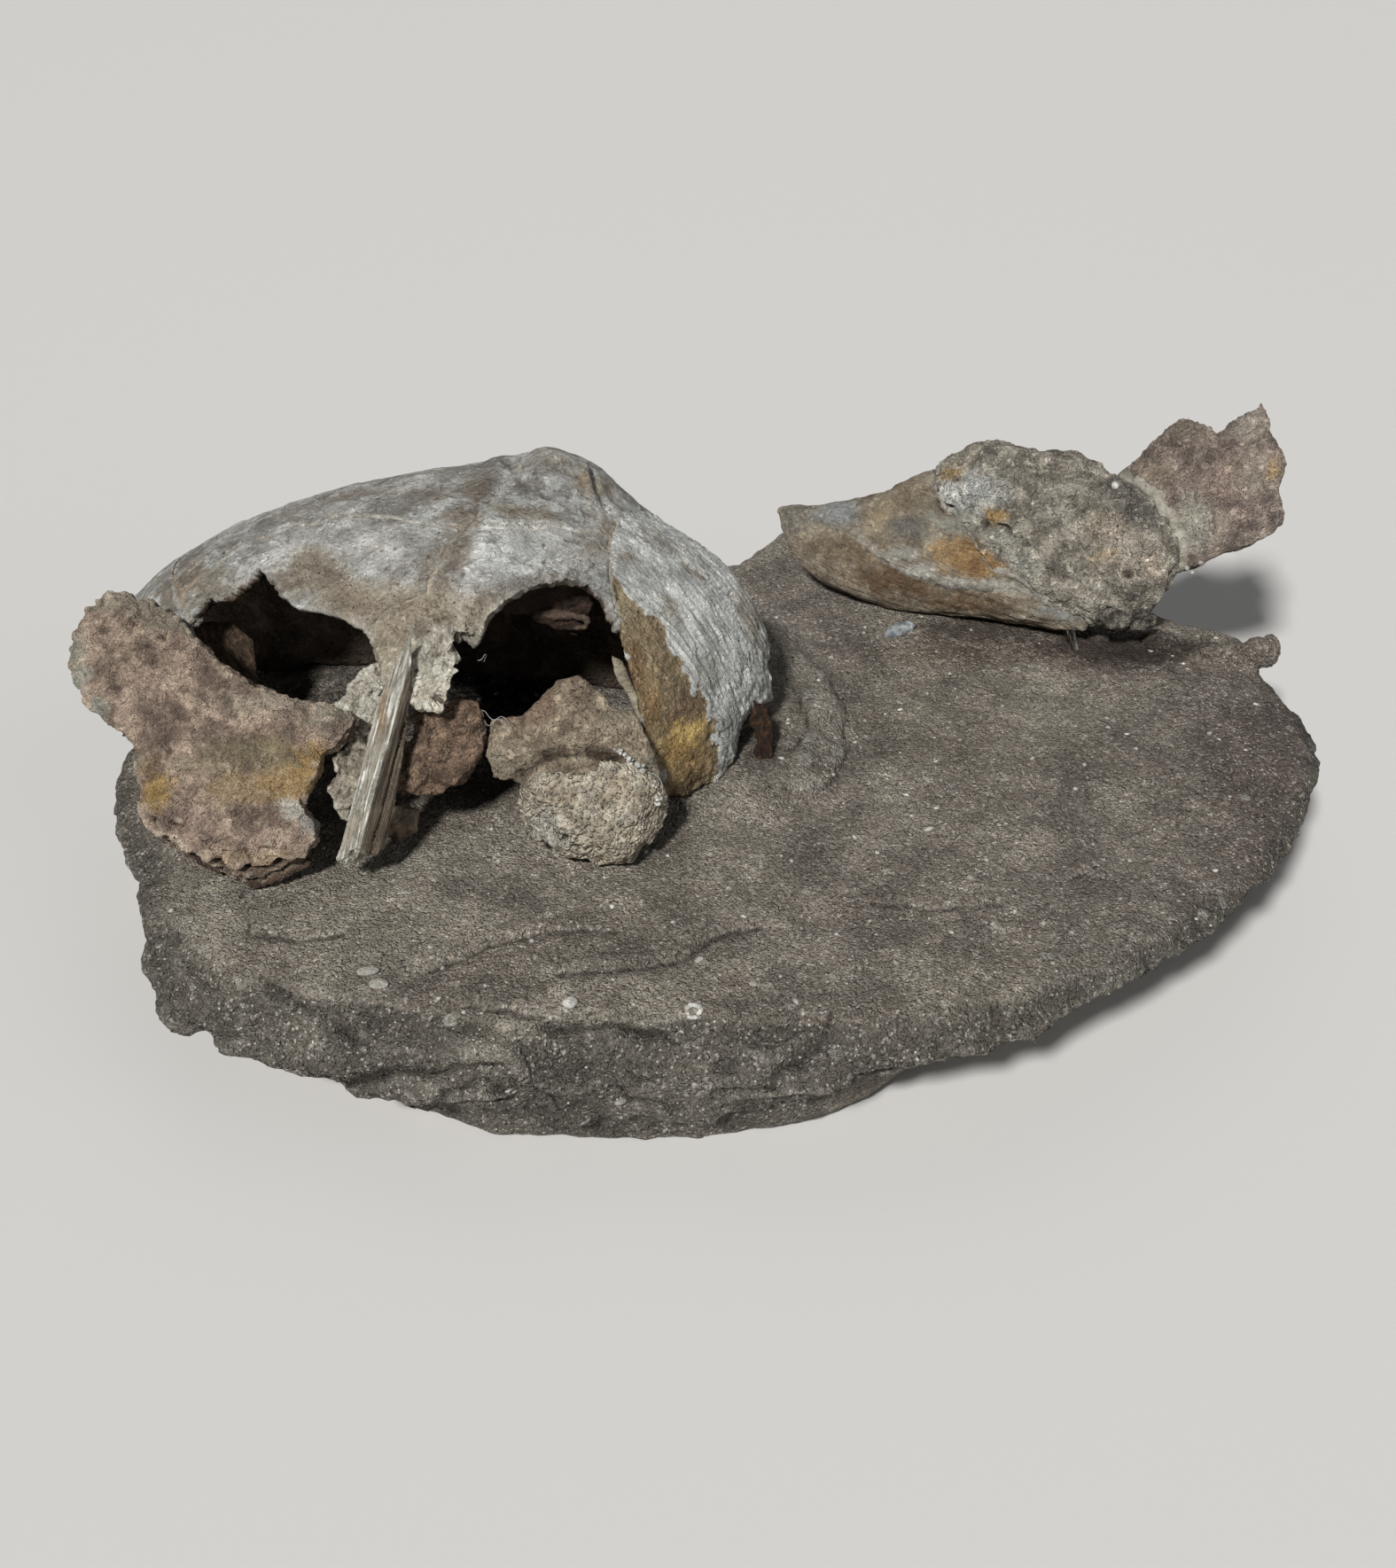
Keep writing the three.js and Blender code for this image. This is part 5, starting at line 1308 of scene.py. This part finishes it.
carve(splinter, [
    ([along_splinter(0.02, -1.5), along_splinter(0.9, 0.5)], 1.1, 1.0, 0.25),
    ([along_splinter(0.0, 1.6), along_splinter(0.7, 2.6)], 1.0, 0.8, 0.25),
    ([along_splinter(0.02, -0.4), along_splinter(0.6, -0.6), along_splinter(0.95, 0.0)], 0.8, 0.7, 0.25),
    ([along_splinter(0.1, -2.4), along_splinter(0.5, -2.0)], 0.9, 0.8, 0.25),
    ([along_splinter(0.1, 2.6), along_splinter(0.95, 2.4)], 0.9, 0.7, 0.25),
    ([along_splinter(0.3, -3.0), along_splinter(0.98, -1.2)], 0.9, 0.7, 0.25),
], seed=80)
note_hollows(splinter, 2, 2.8)
note(splinter, "shaded right face", shaded_right_face)
cream = Finish("Cream bone", 1.2, 5)
cream_lines = cream.strands(SPLINTER_RUN, 0.5, 24, 0.38, 0.62)
cream.ground(cream_lines, (0.29, 0.255, 0.195), (0.62, 0.605, 0.54))
cream.lay((0.17, 0.13, 0.085), cream.strands(SPLINTER_RUN, 0.9, 16, 0.54, 0.66), 0.8)
# Painted shade on the right face.
cream.lay((0.085, 0.06, 0.036), cream.noted("shaded right face", 0.15, 0.7), 0.9)
cream.stain([
    ((-66, -45, 64), (1.2, 5, 14), (0.26, 0.17, 0.085), 0.7),
    ((-72.5, -59.5, 35.0), (5, 4, 2.6), (0.52, 0.52, 0.48), 0.9),
    ((-70.5, -60, 33.5), (2, 4, 1.6), (0.2, 0.19, 0.17), 0.9),
])
cream.hollows_and_ridges(((0.095, 0.065, 0.038), 0.58, 0.9, 0.85), ((0.74, 0.725, 0.66), 0.42, 0.15, 0.55))
cream.press(cream_lines, 0.6)
cream.press(cream.cloud(0.8, 4), 0.08)
splinter_bone = cream.finish(0.66, 0.35)
place_piece(splinter, splinter_bone, "splinter_bone", "bone_splinter")

palate = broken_piece("right_palatine", "palate_right", 0.4, 10, (60, 3, 0.5, 84), [(2.4, 1.9, 3), (1.2, 0.7, 2)],
                      (2, 2.2))
note(palate, "inside", np.zeros(len(palate.data.vertices)))
place_piece(palate, crumbly_bone, "crumbly_bone", "right_palatine")

chip = broken_piece("palate_chip", "chip_of_palate", 0.25, 4, (10, 3, 0.4, 86), [(1.6, 0.9, 2)], (2, 2.5))
# Its colours are darkened as painted shade, because the chip lies in shadow.
shaded_chip = Finish("Chip bone in painted shade", 1.5, 4)
shaded_chip.ground(3, (0.15, 0.11, 0.075), (0.35, 0.285, 0.205))
shaded_chip.hollows_and_ridges(((0.03, 0.02, 0.014), 0.6, 0.95, 0.8))
shaded_chip.press(shaded_chip.cloud(0.9, 5), 0.3)
place_piece(chip, shaded_chip.finish(0.8), "splinter_bone", "palate_chip")

lump = broken_piece("palatine_lump", "lump_of_palate", 0.4, 10, (90, 3.2, 0.7, 88), [(4.5, 2.0, 3), (1.5, 0.9, 2)],
                    (2, 1.8))
granular = Finish("Red-brown granular bone", 2, 6)
granular.ground(3, (0.08, 0.052, 0.035), (0.235, 0.16, 0.11))
granular.stain([((-55, -44, 62), (14, 7, 5), (0.065, 0.036, 0.022), 0.85)])
lump_sand = granular.group(SAND, 1500.0, Bright=((0.4, 0.31, 0.23), 0.65), Dark=((0.05, 0.028, 0.018), 0.5))
granular.hollows_and_ridges(((0.022, 0.013, 0.009), 0.58, 0.92, 0.9), ((0.3, 0.22, 0.165), 0.42, 0.12, 0.5))
granular.press(granular.cloud(1.2, 5), 0.5)
granular.press(lump_sand["Height"], 0.25)
place_piece(lump, granular.finish(0.82, 0.3), "brown_bone", "palatine_lump")

# ---- The floor of the left eye socket ----
# A smooth brown hump of bone, and in front of it a block of coarse sand rock with holes in it. A line of white
# crumbs lies where they meet.
BLOCK_TOP = [(-40.5, -46, 47.5), (-39.3, -45.1, 49.0), (-36.8, -44.1, 50.9), (-34.3, -43.7, 52.1), (-30.2, -43.2, 52.6),
             (-25.8, -42.8, 52.6), (-21.4, -43.1, 51.3), (-17.5, -45, 50)]
BLOCK_SPLITS = [((-26, -51.3, 43), (0.02, -0.8, 0.6)), ((-37.0, -49, 42), (-0.85, -0.5, 0.1)),
                ((-14.5, -50, 40), (0.8, -0.6, 0.1))]
hump = cast_of("left_pterygoid", "floor_of_left_orbit", 0.45)
settle(hump, 16)
points = skin_of(hump)[0]
sandy_low = np.clip((53 - points[:, 2]) / 5, 0, 1)
roughen(hump, (7, 1.3, 2), (2.0, 0.8, 3))
roughen(hump, (1.9, 1.8, 3), where=sandy_low)
carve(hump, [([(-44, -43.5, 50), (-38, -44, 51), (-33, -43, 52)], 1.8, 0.9, 0.6), (BLOCK_TOP, 3.0, 2.0, 0.4)], seed=90)
note_hollows(hump, 3, 1.8)
points = skin_of(hump)[0]
note(hump, "block shadow line", near(points, BLOCK_TOP, 2.6))
tan = Finish("Brown bone", 2.5, 7)
tan.ground(5, (0.19, 0.142, 0.1), (0.34, 0.283, 0.205))
tan.stain([
    ((-37, -35, 59), (6, 6, 5), (0.215, 0.14, 0.1), 0.75),
    ((-31, -36, 63), (6, 6, 4), (0.26, 0.205, 0.145), 0.7),
    ((-41, -42, 50), (9, 5, 5), (0.29, 0.25, 0.185), 0.7),
    ((-20, -36, 55), (6, 6, 6), (0.28, 0.24, 0.175), 0.6),
    ((-13, -42, 47), (5, 4, 4), (0.3, 0.27, 0.21), 0.6),
])
tan_sand = tan.group(SAND, 1600.0)
tan_pores = tan.group(PORES, 900.0, 0.25)
tan.lay((0.4, 0.35, 0.27), tan_sand["Bright"], 0.45)
tan.lay((0.09, 0.045, 0.028), tan_pores["Mask"], 0.6)
tan.hollows_and_ridges(((0.055, 0.036, 0.022), 0.6, 0.95, 0.85), ((0.36, 0.3, 0.22), 0.42, 0.1, 0.5))
# Painted shadow along the groove where the block meets the hump.
tan.lay((0.06, 0.045, 0.03), tan.noted("block shadow line", 0.2, 0.8), 0.8)
tan.press(tan.cloud(2.2, 8), 1.0)
tan.press(tan_sand["Height"], 0.28)
brown_bone = tan.finish(0.8, 0.3)
place_piece(hump, brown_bone, "brown_bone", "left_pterygoid")


def split(piece, faces):
    """Splits a piece along flat faces: each is (a place on it, the way it looks)."""
    points = skin_of(piece)[0]
    for place, out in faces:
        out = np.array(out) / np.linalg.norm(out)
        points -= np.clip((points - np.array(place)) @ out, 0, None)[:, None] * out
    set_skin(piece, points)


block = cast_of("orbit_rock", "coarse_block", 0.4)
settle(block, 10)
split(block, BLOCK_SPLITS)
points = skin_of(block)[0]
holed = np.clip(1.4 - np.linalg.norm((points - np.array((-36, -51, 40))) / np.array((6.5, 8, 6)), axis=1), 0, 1)
knap(block, 60, 3.2, 0.7, 94, np.clip((37 - points[:, 2]) / 3, 0, 1) + holed)
roughen(block, (5, 0.8, 2), (1.1, 0.7, 2))
roughen(block, (2.4, 3.2, 3), where=holed)
dent(block, [
    ((-34.5, -51, 43), (2.2, 2.5, 1.6), 2.2), ((-36.5, -51.5, 39.5), (1.6, 2.5, 1.3), 1.8),
    ((-31, -52.5, 38.5), (1.8, 2.5, 1.2), 1.6), ((-33.5, -49.5, 46.5), (1.5, 2.5, 1.2), 1.4),
    ((-38.5, -50, 44), (1.2, 2, 1.4), 1.2), ((-28.5, -53, 36.5), (1.5, 2, 1.0), 1.3),
])
note_hollows(block, 2, 1.7)
gritty = Finish("Coarse sand rock", 2, 6)
gritty.ground(4, (0.265, 0.23, 0.172), (0.42, 0.38, 0.302))
gritty.lay((0.3, 0.235, 0.165), gritty.cloud(7, 3, 0.5, 0.66), 0.5)
gritty.stain([((-35, -51, 39), (7, 6, 5), (0.36, 0.35, 0.31), 0.7)])
block_sand = gritty.group(SAND, 1350.0, Dark=((0.1, 0.08, 0.055), 0.7), Bright=((0.55, 0.5, 0.41), 0.7))
gritty.hollows_and_ridges(((0.04, 0.03, 0.02), 0.58, 0.92, 0.9), ((0.47, 0.43, 0.34), 0.42, 0.12, 0.5))
gritty.press(gritty.cloud(1.6, 4), 0.3)
gritty.press(block_sand["Height"], 0.6)
matrix_rock = gritty.finish(0.85, 0.3, 3.0, 0.32)
place_piece(block, matrix_rock, "matrix_rock", "orbit_rock")

WHITE_CRUMBS = [(-20.5, -42.4, 53.2), (-17.4, -43.2, 51.4), (-14.4, -44.4, 48.6), (-12.4, -46.2, 46.0),
                (-12.0, -47.8, 43.4)]
chance = np.random.default_rng(5)
crumbs = gather([pebble(place + chance.normal(size=3) * 0.35, chance.uniform(0.45, 1.25, 3),
                        tuple(chance.uniform(0, 3, 3)), 2, 300 + n, 0.2)
                 for n, place in enumerate(drawn(WHITE_CRUMBS, 0.3, 7, 0.35))], "white_crumbs")
place_piece(crumbs, bit_white.material, "matrix_rock")

# ---- The thin bones behind the cheek ----
# A pale sheet at the rear of the eye socket, and the orange-red rods of the jaw joint behind the cheek's end.
# Both are thin broken bone that the rock behind them holds in place.
sheet_bone = cast_of("left_jugal_sheet", "sheet_in_left_orbit", 0.35)
settle(sheet_bone, 8)
points = skin_of(sheet_bone)[0]
points[:, 0] += np.clip(points[:, 0] + 21.5, 0, 1) * np.clip((62 - points[:, 2]) / 16, 0, 1) * 2.8
set_skin(sheet_bone, points)
roughen(sheet_bone, (2.0, 0.7, 2))
note_hollows(sheet_bone, 2, 2.2)
dull = Finish("Dull pale bone", 2, 5)
dull.ground(3, (0.19, 0.16, 0.11), (0.34, 0.305, 0.23))
dull.hollows_and_ridges(((0.03, 0.02, 0.012), 0.6, 0.95, 0.8))
dull.press(dull.cloud(1.0), 0.25)
place_piece(sheet_bone, dull.finish(0.8), "splinter_bone", "left_jugal_sheet")

ROD_RUN = (0.1, -0.2, 1)
quadrate = broken_piece("left_quadrate", "joint_rods_left", 0.4, 12, None, [(1.7, 1.9, 2)], (2, 1.8),
                        along=ROD_RUN, stretch=8)
# The rods' colours are darkened nearly to black as painted shade, because they lie in the shadow behind the cheek.
rods = Finish("Orange-red bone in painted shade", 2, 5)
rod_fibres = rods.strands(ROD_RUN, 1.0, 8)
rods.ground(rod_fibres, (0.006, 0.003, 0.0015), (0.04, 0.018, 0.007))
rods.hollows_and_ridges(((0.015, 0.008, 0.005), 0.58, 0.92, 0.9))
rods.press(rod_fibres, 0.4)
place_piece(quadrate, rods.finish(0.75), "brown_bone", "left_quadrate")

# ---- The second piece: a broken lower jaw ----
# A smooth tan keel of bone, the rock still stuck in its rear, and a flake of mauve bone that stands up from it.
# Two nodules of rock hang under them.
KEEL_RUN = (0.86, -0.42, -0.2)
PIT_STAINS = [
    ((59.7, 52.2, 47.4), (9.5, 5.5, 4.4), (0.37, 0.235, 0.105), 0.97),
    ((65.5, 49.2, 46.2), (6.0, 5.0, 3.6), (0.36, 0.22, 0.095), 0.97),
    ((55.5, 54.0, 48.5), (4, 4, 3), (0.42, 0.29, 0.155), 0.8),
    ((63, 49.8, 45.2), (2.5, 3, 1.6), (0.22, 0.12, 0.055), 0.8),
]
KEEL_STAINS_AND_SHADE = [
    ((30.2, 68.5, 51), (7, 6, 3.5), (0.283, 0.295, 0.287), 0.95),
    ((20, 71, 47), (6, 5, 6), (0.246, 0.234, 0.205), 0.6),
    ((45.2, 65.3, 54.7), (7, 4, 3.5), (0.254, 0.209, 0.139), 0.85),
    ((40.5, 63.3, 51.4), (4, 4, 3), (0.295, 0.234, 0.148), 0.7),
    ((52.5, 62.5, 55.6), (4, 4, 3), (0.221, 0.189, 0.135), 0.8),
    ((47.8, 59.6, 51.1), (5.5, 3.5, 2.8), (0.152, 0.141, 0.123), 0.9),
    # painted shade along the lower side of the keel, which turns from the light
    ((46, 53, 40), (24, 6, 4.5), (0.123, 0.074, 0.037), 0.9),
    ((60, 47, 37), (16, 5, 3.5), (0.135, 0.086, 0.048), 0.9),
    ((36, 59, 45), (10, 5, 4), (0.213, 0.156, 0.094), 0.8),
    ((28, 64, 44), (8, 5, 4), (0.197, 0.152, 0.098), 0.7),
    ((46, 56.2, 46), (5, 3, 2.2), (0.41, 0.398, 0.357), 0.9),
    ((50, 52.3, 43.0), (5, 3, 1.8), (0.41, 0.398, 0.353), 0.95),
    ((58, 48.6, 41.9), (6, 3, 1.5), (0.41, 0.394, 0.344), 0.95),
    ((67.8, 45.4, 42.0), (7, 3, 1.6), (0.402, 0.381, 0.328), 0.9),
    ((83, 39.8, 39.5), (8, 4, 3.0), (0.279, 0.283, 0.267), 0.9),
    ((56.5, 57.8, 52), (4, 3, 1.8), (0.271, 0.267, 0.221), 0.9),
]
JAW_CREST = [(34.5, 62.1, 48.2), (40.3, 57.2, 44.9), (47.4, 52.8, 42.8), (55.3, 49.1, 41.8), (64.2, 46.3, 42.3),
             (71.7, 44.7, 43.0), (79, 41.5, 41.5)]
UPPER_CREST = [(52.8, 60.1, 53.5), (58.1, 58.0, 52.9), (64.1, 53.1, 52.2), (69.2, 48.8, 49.2), (74.2, 44.7, 46.1)]
keel = cast_of("jaw_dentary", "lower_jaw_keel", 0.5, 0.15)
settle(keel, 60)
points = skin_of(keel)[0]
rear = np.clip((points[:, 0] - 66) / 8, 0, 1)
roughen(keel, (10, 1.0, 2))
roughen(keel, (1.5, 0.9, 2), along=KEEL_RUN, stretch=12)
roughen(keel, (1.4, 1.3, 2), along=KEEL_RUN, stretch=9, where=rear)
dent(keel, [((59.5, 52, 47), (9, 5, 4.0), 1.8)])
carve(keel, [
    (JAW_CREST, 3.4, -1.3, 0.2),
    ([(44, 56, 44.5), (54, 48.8, 40.2), (66, 44.6, 38.6)], 2.4, 0.8, 0.4),
    ([(61.5, 49.7, 45.4), (64.5, 48.4, 44.6), (67.7, 46.9, 44.4)], 0.9, 0.8, 0.4),
    ([(65, 49, 47.5), (64.5, 48.4, 44.6), (66, 46.5, 43)], 0.8, 0.7, 0.4),
    ([(22, 71, 49), (32, 66, 50), (42, 62, 51)], 1.2, 0.4, 0.5),
], seed=100)
note_hollows(keel, 3, 1.9)
points = skin_of(keel)[0]
note(keel, "crest", near(points, JAW_CREST, 2.6))
note(keel, "upper crest", near(points, UPPER_CREST, 3.4))
keel_bone = Finish("Jaw bone", 2.5, 7)
keel_fibres = keel_bone.strands(KEEL_RUN, 0.7, 14)
keel_bone.ground(7, (0.19, 0.142, 0.092), (0.33, 0.283, 0.212))
keel_bone.lay((0.33, 0.3, 0.24), keel_fibres, 0.4)
keel_bone.stain(KEEL_STAINS_AND_SHADE + PIT_STAINS)
keel_bone.lay((0.58, 0.562, 0.5), keel_bone.noted("crest", 0.25, 0.75), 0.8)
keel_bone.lay((0.3, 0.29, 0.24), keel_bone.noted("upper crest", 0.2, 0.7), 0.85)
keel_bone.group(PORES, 1100.0, 0.2, Mask=((0.11, 0.07, 0.04), 0.6))
keel_bone.hollows_and_ridges(((0.075, 0.046, 0.026), 0.6, 0.95, 0.85), ((0.38, 0.355, 0.3), 0.42, 0.1, 0.5))
keel_bone.press(keel_fibres, 0.35)
keel_bone.press(keel_bone.cloud(2.0, 6), 0.7)
place_piece(keel, keel_bone.finish(0.62, 0.35), "jaw_bone", "jaw_dentary")

jaw_rock = cast_of("jaw_rock", "rock_in_lower_jaw", 0.5, 0.15)
settle(jaw_rock, 16)
knap(jaw_rock, 160, 3.6, 0.7, 122)
roughen(jaw_rock, (9, 2.4, 2), (4, 1.5, 3), (1.5, 0.9, 2))
carve(jaw_rock, [
    ([(54, 70.8, 61.2), (55.2, 64.5, 57.1), (57.8, 60.8, 54.5)], 2.0, 1.8, 0.5),
    ([(57.5, 57.5, 53), (64.1, 53.7, 53.1), (71.1, 47.9, 49.7), (74.8, 44.2, 46.4), (79, 42.4, 43)], 4.5, -1.4, 0.6),
    ([(60, 57, 56), (68, 52.5, 56), (75, 47.5, 52)], 2.4, 1.3, 0.8),
    ([(90, 57, 66), (95, 50, 62), (97, 44, 57)], 1.8, 0.8, 0.8),
    ([(74, 52, 60), (80, 46, 55), (86, 43, 52)], 1.8, 0.8, 0.9),
], seed=120)
dent(jaw_rock, [
    ((62, 61, 60), (6, 5, 4), -0.8), ((70, 52, 60), (6, 5, 5), 0.8),
    ((57.2, 61.5, 55), (1.5, 1.5, 1.5), 1.6), ((97.4, 38.5, 49), (1.3, 1.5, 1.2), 1.5),
    ((94, 39, 50.5), (1.0, 1.5, 1.0), 1.0), ((100, 40, 51), (1.0, 1.5, 1.0), 1.0),
    ((97, 42, 54), (9, 7, 7), -2.0), ((93, 45, 58), (4, 4, 3), -0.8), ((103, 40, 55), (3.5, 4, 4), -0.8),
    ((88, 43, 53), (3.5, 5, 7), 1.4), ((96.8, 38.6, 49.4), (1.6, 2, 1.2), 2.0),
    ((99.5, 38.2, 50.2), (1.2, 2, 1.0), 1.6),
])
note_hollows(jaw_rock, 3, 1.6)
crusted = Finish("Rock with bone crust", 3, 7)
crusted.ground(4, (0.215, 0.19, 0.152), (0.35, 0.318, 0.262))
crusted.lay((0.4, 0.375, 0.32), crusted.cloud(2.2, 6, 0.52, 0.66), 0.5)
rock_sand = crusted.group(SAND, 1700.0)
crusted.stain([
    ((62, 60.0, 61.0), (11, 7, 5.5), (0.53, 0.535, 0.5), 1.0),
    ((58, 60.5, 58.5), (5, 5, 4.5), (0.5, 0.505, 0.465), 1.0),
    ((65, 57, 58), (5, 4, 3.5), (0.48, 0.485, 0.44), 0.9),
    ((57.3, 65.9, 62.8), (4, 3, 2.4), (0.4, 0.28, 0.135), 0.9),
    ((66, 63, 63.5), (3, 3, 2), (0.36, 0.27, 0.15), 0.7),
    ((66.6, 53.5, 56.7), (3.6, 3.4, 2.6), (0.44, 0.29, 0.12), 0.95),
    ((60, 56.5, 53.5), (5, 4, 2.8), (0.37, 0.36, 0.305), 0.95),
    ((67.5, 51, 51.6), (6, 5, 3.4), (0.38, 0.37, 0.315), 0.95),
    ((73.5, 46, 47.6), (5.5, 5, 3.6), (0.38, 0.37, 0.315), 0.95),
    ((93.5, 45.5, 58.8), (5, 5, 5), (0.44, 0.365, 0.275), 0.95),
    ((98, 41.5, 53.5), (9, 7, 7), (0.46, 0.405, 0.33), 1.0),
    ((102, 39, 50), (6, 6, 5), (0.46, 0.39, 0.305), 0.9),
    ((92, 42, 52), (4, 4, 3), (0.38, 0.29, 0.185), 0.8),
    ((100.5, 48.6, 61.4), (9, 5, 4.5), (0.145, 0.13, 0.112), 1.0),
    ((96, 52, 64), (8, 6, 4), (0.155, 0.14, 0.122), 0.9),
    ((78, 52, 61), (6, 6, 5), (0.27, 0.255, 0.22), 0.6),
    ((98, 37.5, 46.5), (9, 4, 2.6), (0.13, 0.115, 0.095), 0.9),
] + PIT_STAINS)
crusted.group(SAND, 1150.0, Bright=((0.66, 0.64, 0.58), 0.55))
crusted.lay((0.6, 0.57, 0.5), rock_sand["Bright"], 0.75)
crusted.lay((0.075, 0.06, 0.045), rock_sand["Dark"], 0.5)
crusted.hollows_and_ridges(((0.038, 0.028, 0.019), 0.62, 0.98, 0.75), ((0.44, 0.41, 0.35), 0.42, 0.1, 0.45))
crusted.press(crusted.cloud(2.0, 8), 0.9)
crusted.press(rock_sand["Height"], 0.34)
dull_to_glint = between(crusted.tree, rock_sand["Bright"], 0, 1, 0.85, 0.4)
place_piece(jaw_rock, crusted.finish(dull_to_glint, 0.3, 4.0, 0.34), "matrix_rock", "jaw_rock")

flake = cast_of("jaw_flake", "flake_of_jaw", 0.45, 0.1)
settle(flake, 6)
knap(flake, 60, 3.5, 0.4, 142)
points = skin_of(flake)[0]
high_rim = np.clip((points[:, 2] - 70) / 5, 0, 1) * np.clip((points[:, 1] - 53) / 4, 0, 1)
roughen(flake, (9, 1.6, 2), (2.6, 1.2, 3))
roughen(flake, (1.6, 1.8, 3), where=high_rim)
carve(flake, [
    ([(117.6, 47.9, 61.5), (118.3, 46, 57.5), (118.9, 44.6, 53.5)], 1.3, 1.1, 0.5),
    ([(120, 50, 66), (126, 51, 67), (131, 51, 66)], 1.0, 0.5, 0.7),
], seed=140)
note_hollows(flake, 3, 1.7)
mauve = Finish("Flake bone", 3, 7)
mauve.ground(5, (0.165, 0.13, 0.11), (0.275, 0.222, 0.185))
mauve.lay((0.32, 0.265, 0.22), mauve.cloud(2.2, 6, 0.52, 0.68), 0.55)
mauve.stain([
    ((121, 52, 67), (8, 7, 7), (0.3, 0.225, 0.185), 0.7),
    ((112.4, 48, 57.4), (7, 7, 7), (0.345, 0.325, 0.272), 1.0),
    ((110.5, 50, 61), (4, 4, 3), (0.36, 0.33, 0.27), 0.85),
    ((104, 59, 66), (6, 6, 4), (0.3, 0.245, 0.185), 0.8),
    ((112.2, 64.1, 75.3), (7, 4, 3), (0.215, 0.18, 0.14), 0.85),
    ((126.4, 59.5, 77.8), (5, 4, 5), (0.41, 0.365, 0.3), 0.85),
    ((127, 52, 68), (6, 5, 7), (0.37, 0.325, 0.26), 0.7),
    ((130.8, 52.4, 69.9), (2, 3, 3), (0.4, 0.28, 0.14), 0.8),
    ((119, 46, 55), (3, 4, 6), (0.33, 0.28, 0.225), 0.6),
])
flake_sand = mauve.group(SAND, 2000.0, Dark=((0.08, 0.055, 0.045), 0.4), Bright=((0.45, 0.4, 0.34), 0.4))
mauve.hollows_and_ridges(((0.045, 0.03, 0.022), 0.6, 0.95, 0.85), ((0.34, 0.28, 0.235), 0.42, 0.1, 0.5))
mauve.press(mauve.cloud(1.8, 6), 0.8)
mauve.press(flake_sand["Height"], 0.18)
place_piece(flake, mauve.finish(0.8), "stained_bone", "jaw_flake")

crust = Finish("Dark crust", 2, 5)
crust.ground(2.5, (0.055, 0.048, 0.04), (0.17, 0.155, 0.128))
crust_sand = crust.group(SAND, 1500.0, Bright=((0.42, 0.4, 0.35), 0.5))
crust.hollows_and_ridges(((0.03, 0.024, 0.018), 0.58, 0.92, 0.9))
crust.press(crust.cloud(1.4, 5), 0.6)
crust.press(crust_sand["Height"], 0.25)
dark_crust = crust.finish(0.85, 0.3)
for node, name in [("grey_nodule", "nodule_large"), ("small_nodule", "nodule_small")]:
    nodule = broken_piece(node, name, 0.4, 8, (40, 3, 0.8, 160), [(3, 2.4, 3)], (2, 1.8))
    place_piece(nodule, dark_crust, "matrix_rock", node)

JAW_HEART = (72.0, 60.0, 40.0)
place_piece(seam_sand("sand_in_jaw_seams", [keel, jaw_rock], JAW_HEART, 2.6, 0.6), packed_sand, "matrix_rock")
neck = seam_sand("neck_of_jaw", [jaw_rock, flake], JAW_HEART, 4.6, 0.3)
settle(neck, 6)
note_hollows(neck, 2, 1.8)
smooth_rock = Finish("Smooth pale rock", 2, 6)
smooth_rock.ground(4, (0.22, 0.2, 0.162), (0.33, 0.31, 0.262))
smooth_rock.group(SAND, 2000.0, Dark=((0.1, 0.08, 0.06), 0.4))
smooth_rock.hollows_and_ridges(((0.06, 0.045, 0.032), 0.62, 0.95, 0.8))
smooth_rock.press(smooth_rock.cloud(1.6, 5), 0.4)
place_piece(neck, smooth_rock.finish(0.8), "matrix_rock")

jaw_crumbs = gather([pebble(place, size, (0.3 * n, 0.2, 0.5 * n), 2, 200 + n, 0.1) for n, (place, size) in enumerate([
    ((94.6, 53.2, 65.3), (2.0, 2.4, 2.2)), ((115.2, 44.2, 49.6), (1.8, 1.5, 1.6)),
    ((112.0, 43.6, 48.4), (1.5, 1.3, 1.2)), ((109.4, 43.0, 48.2), (1.3, 1.2, 1.1)),
    ((113.5, 44.0, 47.0), (1.1, 1.0, 1.0)),
])], "jaw_crumbs")
place_piece(jaw_crumbs, bit_white.material, "matrix_rock")

# ---- Root hairs ----
# A few fine dry roots still hang in the eye sockets and lie over the coarse block, stuck where they grew. Each
# is one round thread.
ROOT_HAIRS = [
    [(-47.5, -37.5, 70.5), (-46.8, -37.3, 70.6), (-46.0, -36.6, 71.4), (-46.4, -36.4, 69.6)],
    [(-47.0, -38.6, 58.2), (-46.6, -40.6, 60.8), (-44.9, -41.0, 59.0), (-43.0, -39.4, 58.6), (-41.4, -40.6, 56.0)],
    [(-46.8, -39.2, 57.6), (-45.6, -41.6, 58.0), (-43.6, -41.6, 59.4), (-42.2, -41.2, 56.6)],
    [(-14.2, -44.4, 48.6), (-12.6, -45.6, 48.8), (-11.2, -46.6, 46.4), (-12.0, -47.2, 44.2)],
]
HAIR_THICK = 0.07
root_hairs = gather([thread(run, HAIR_THICK, 1) for run in ROOT_HAIRS], "root_hairs")
hair_grey = Finish("Root", 1, 3)
hair_grey.ground(1.5, (0.2, 0.19, 0.17), (0.42, 0.41, 0.38))
place_piece(root_hairs, hair_grey.finish(0.7), "crumbly_bone")
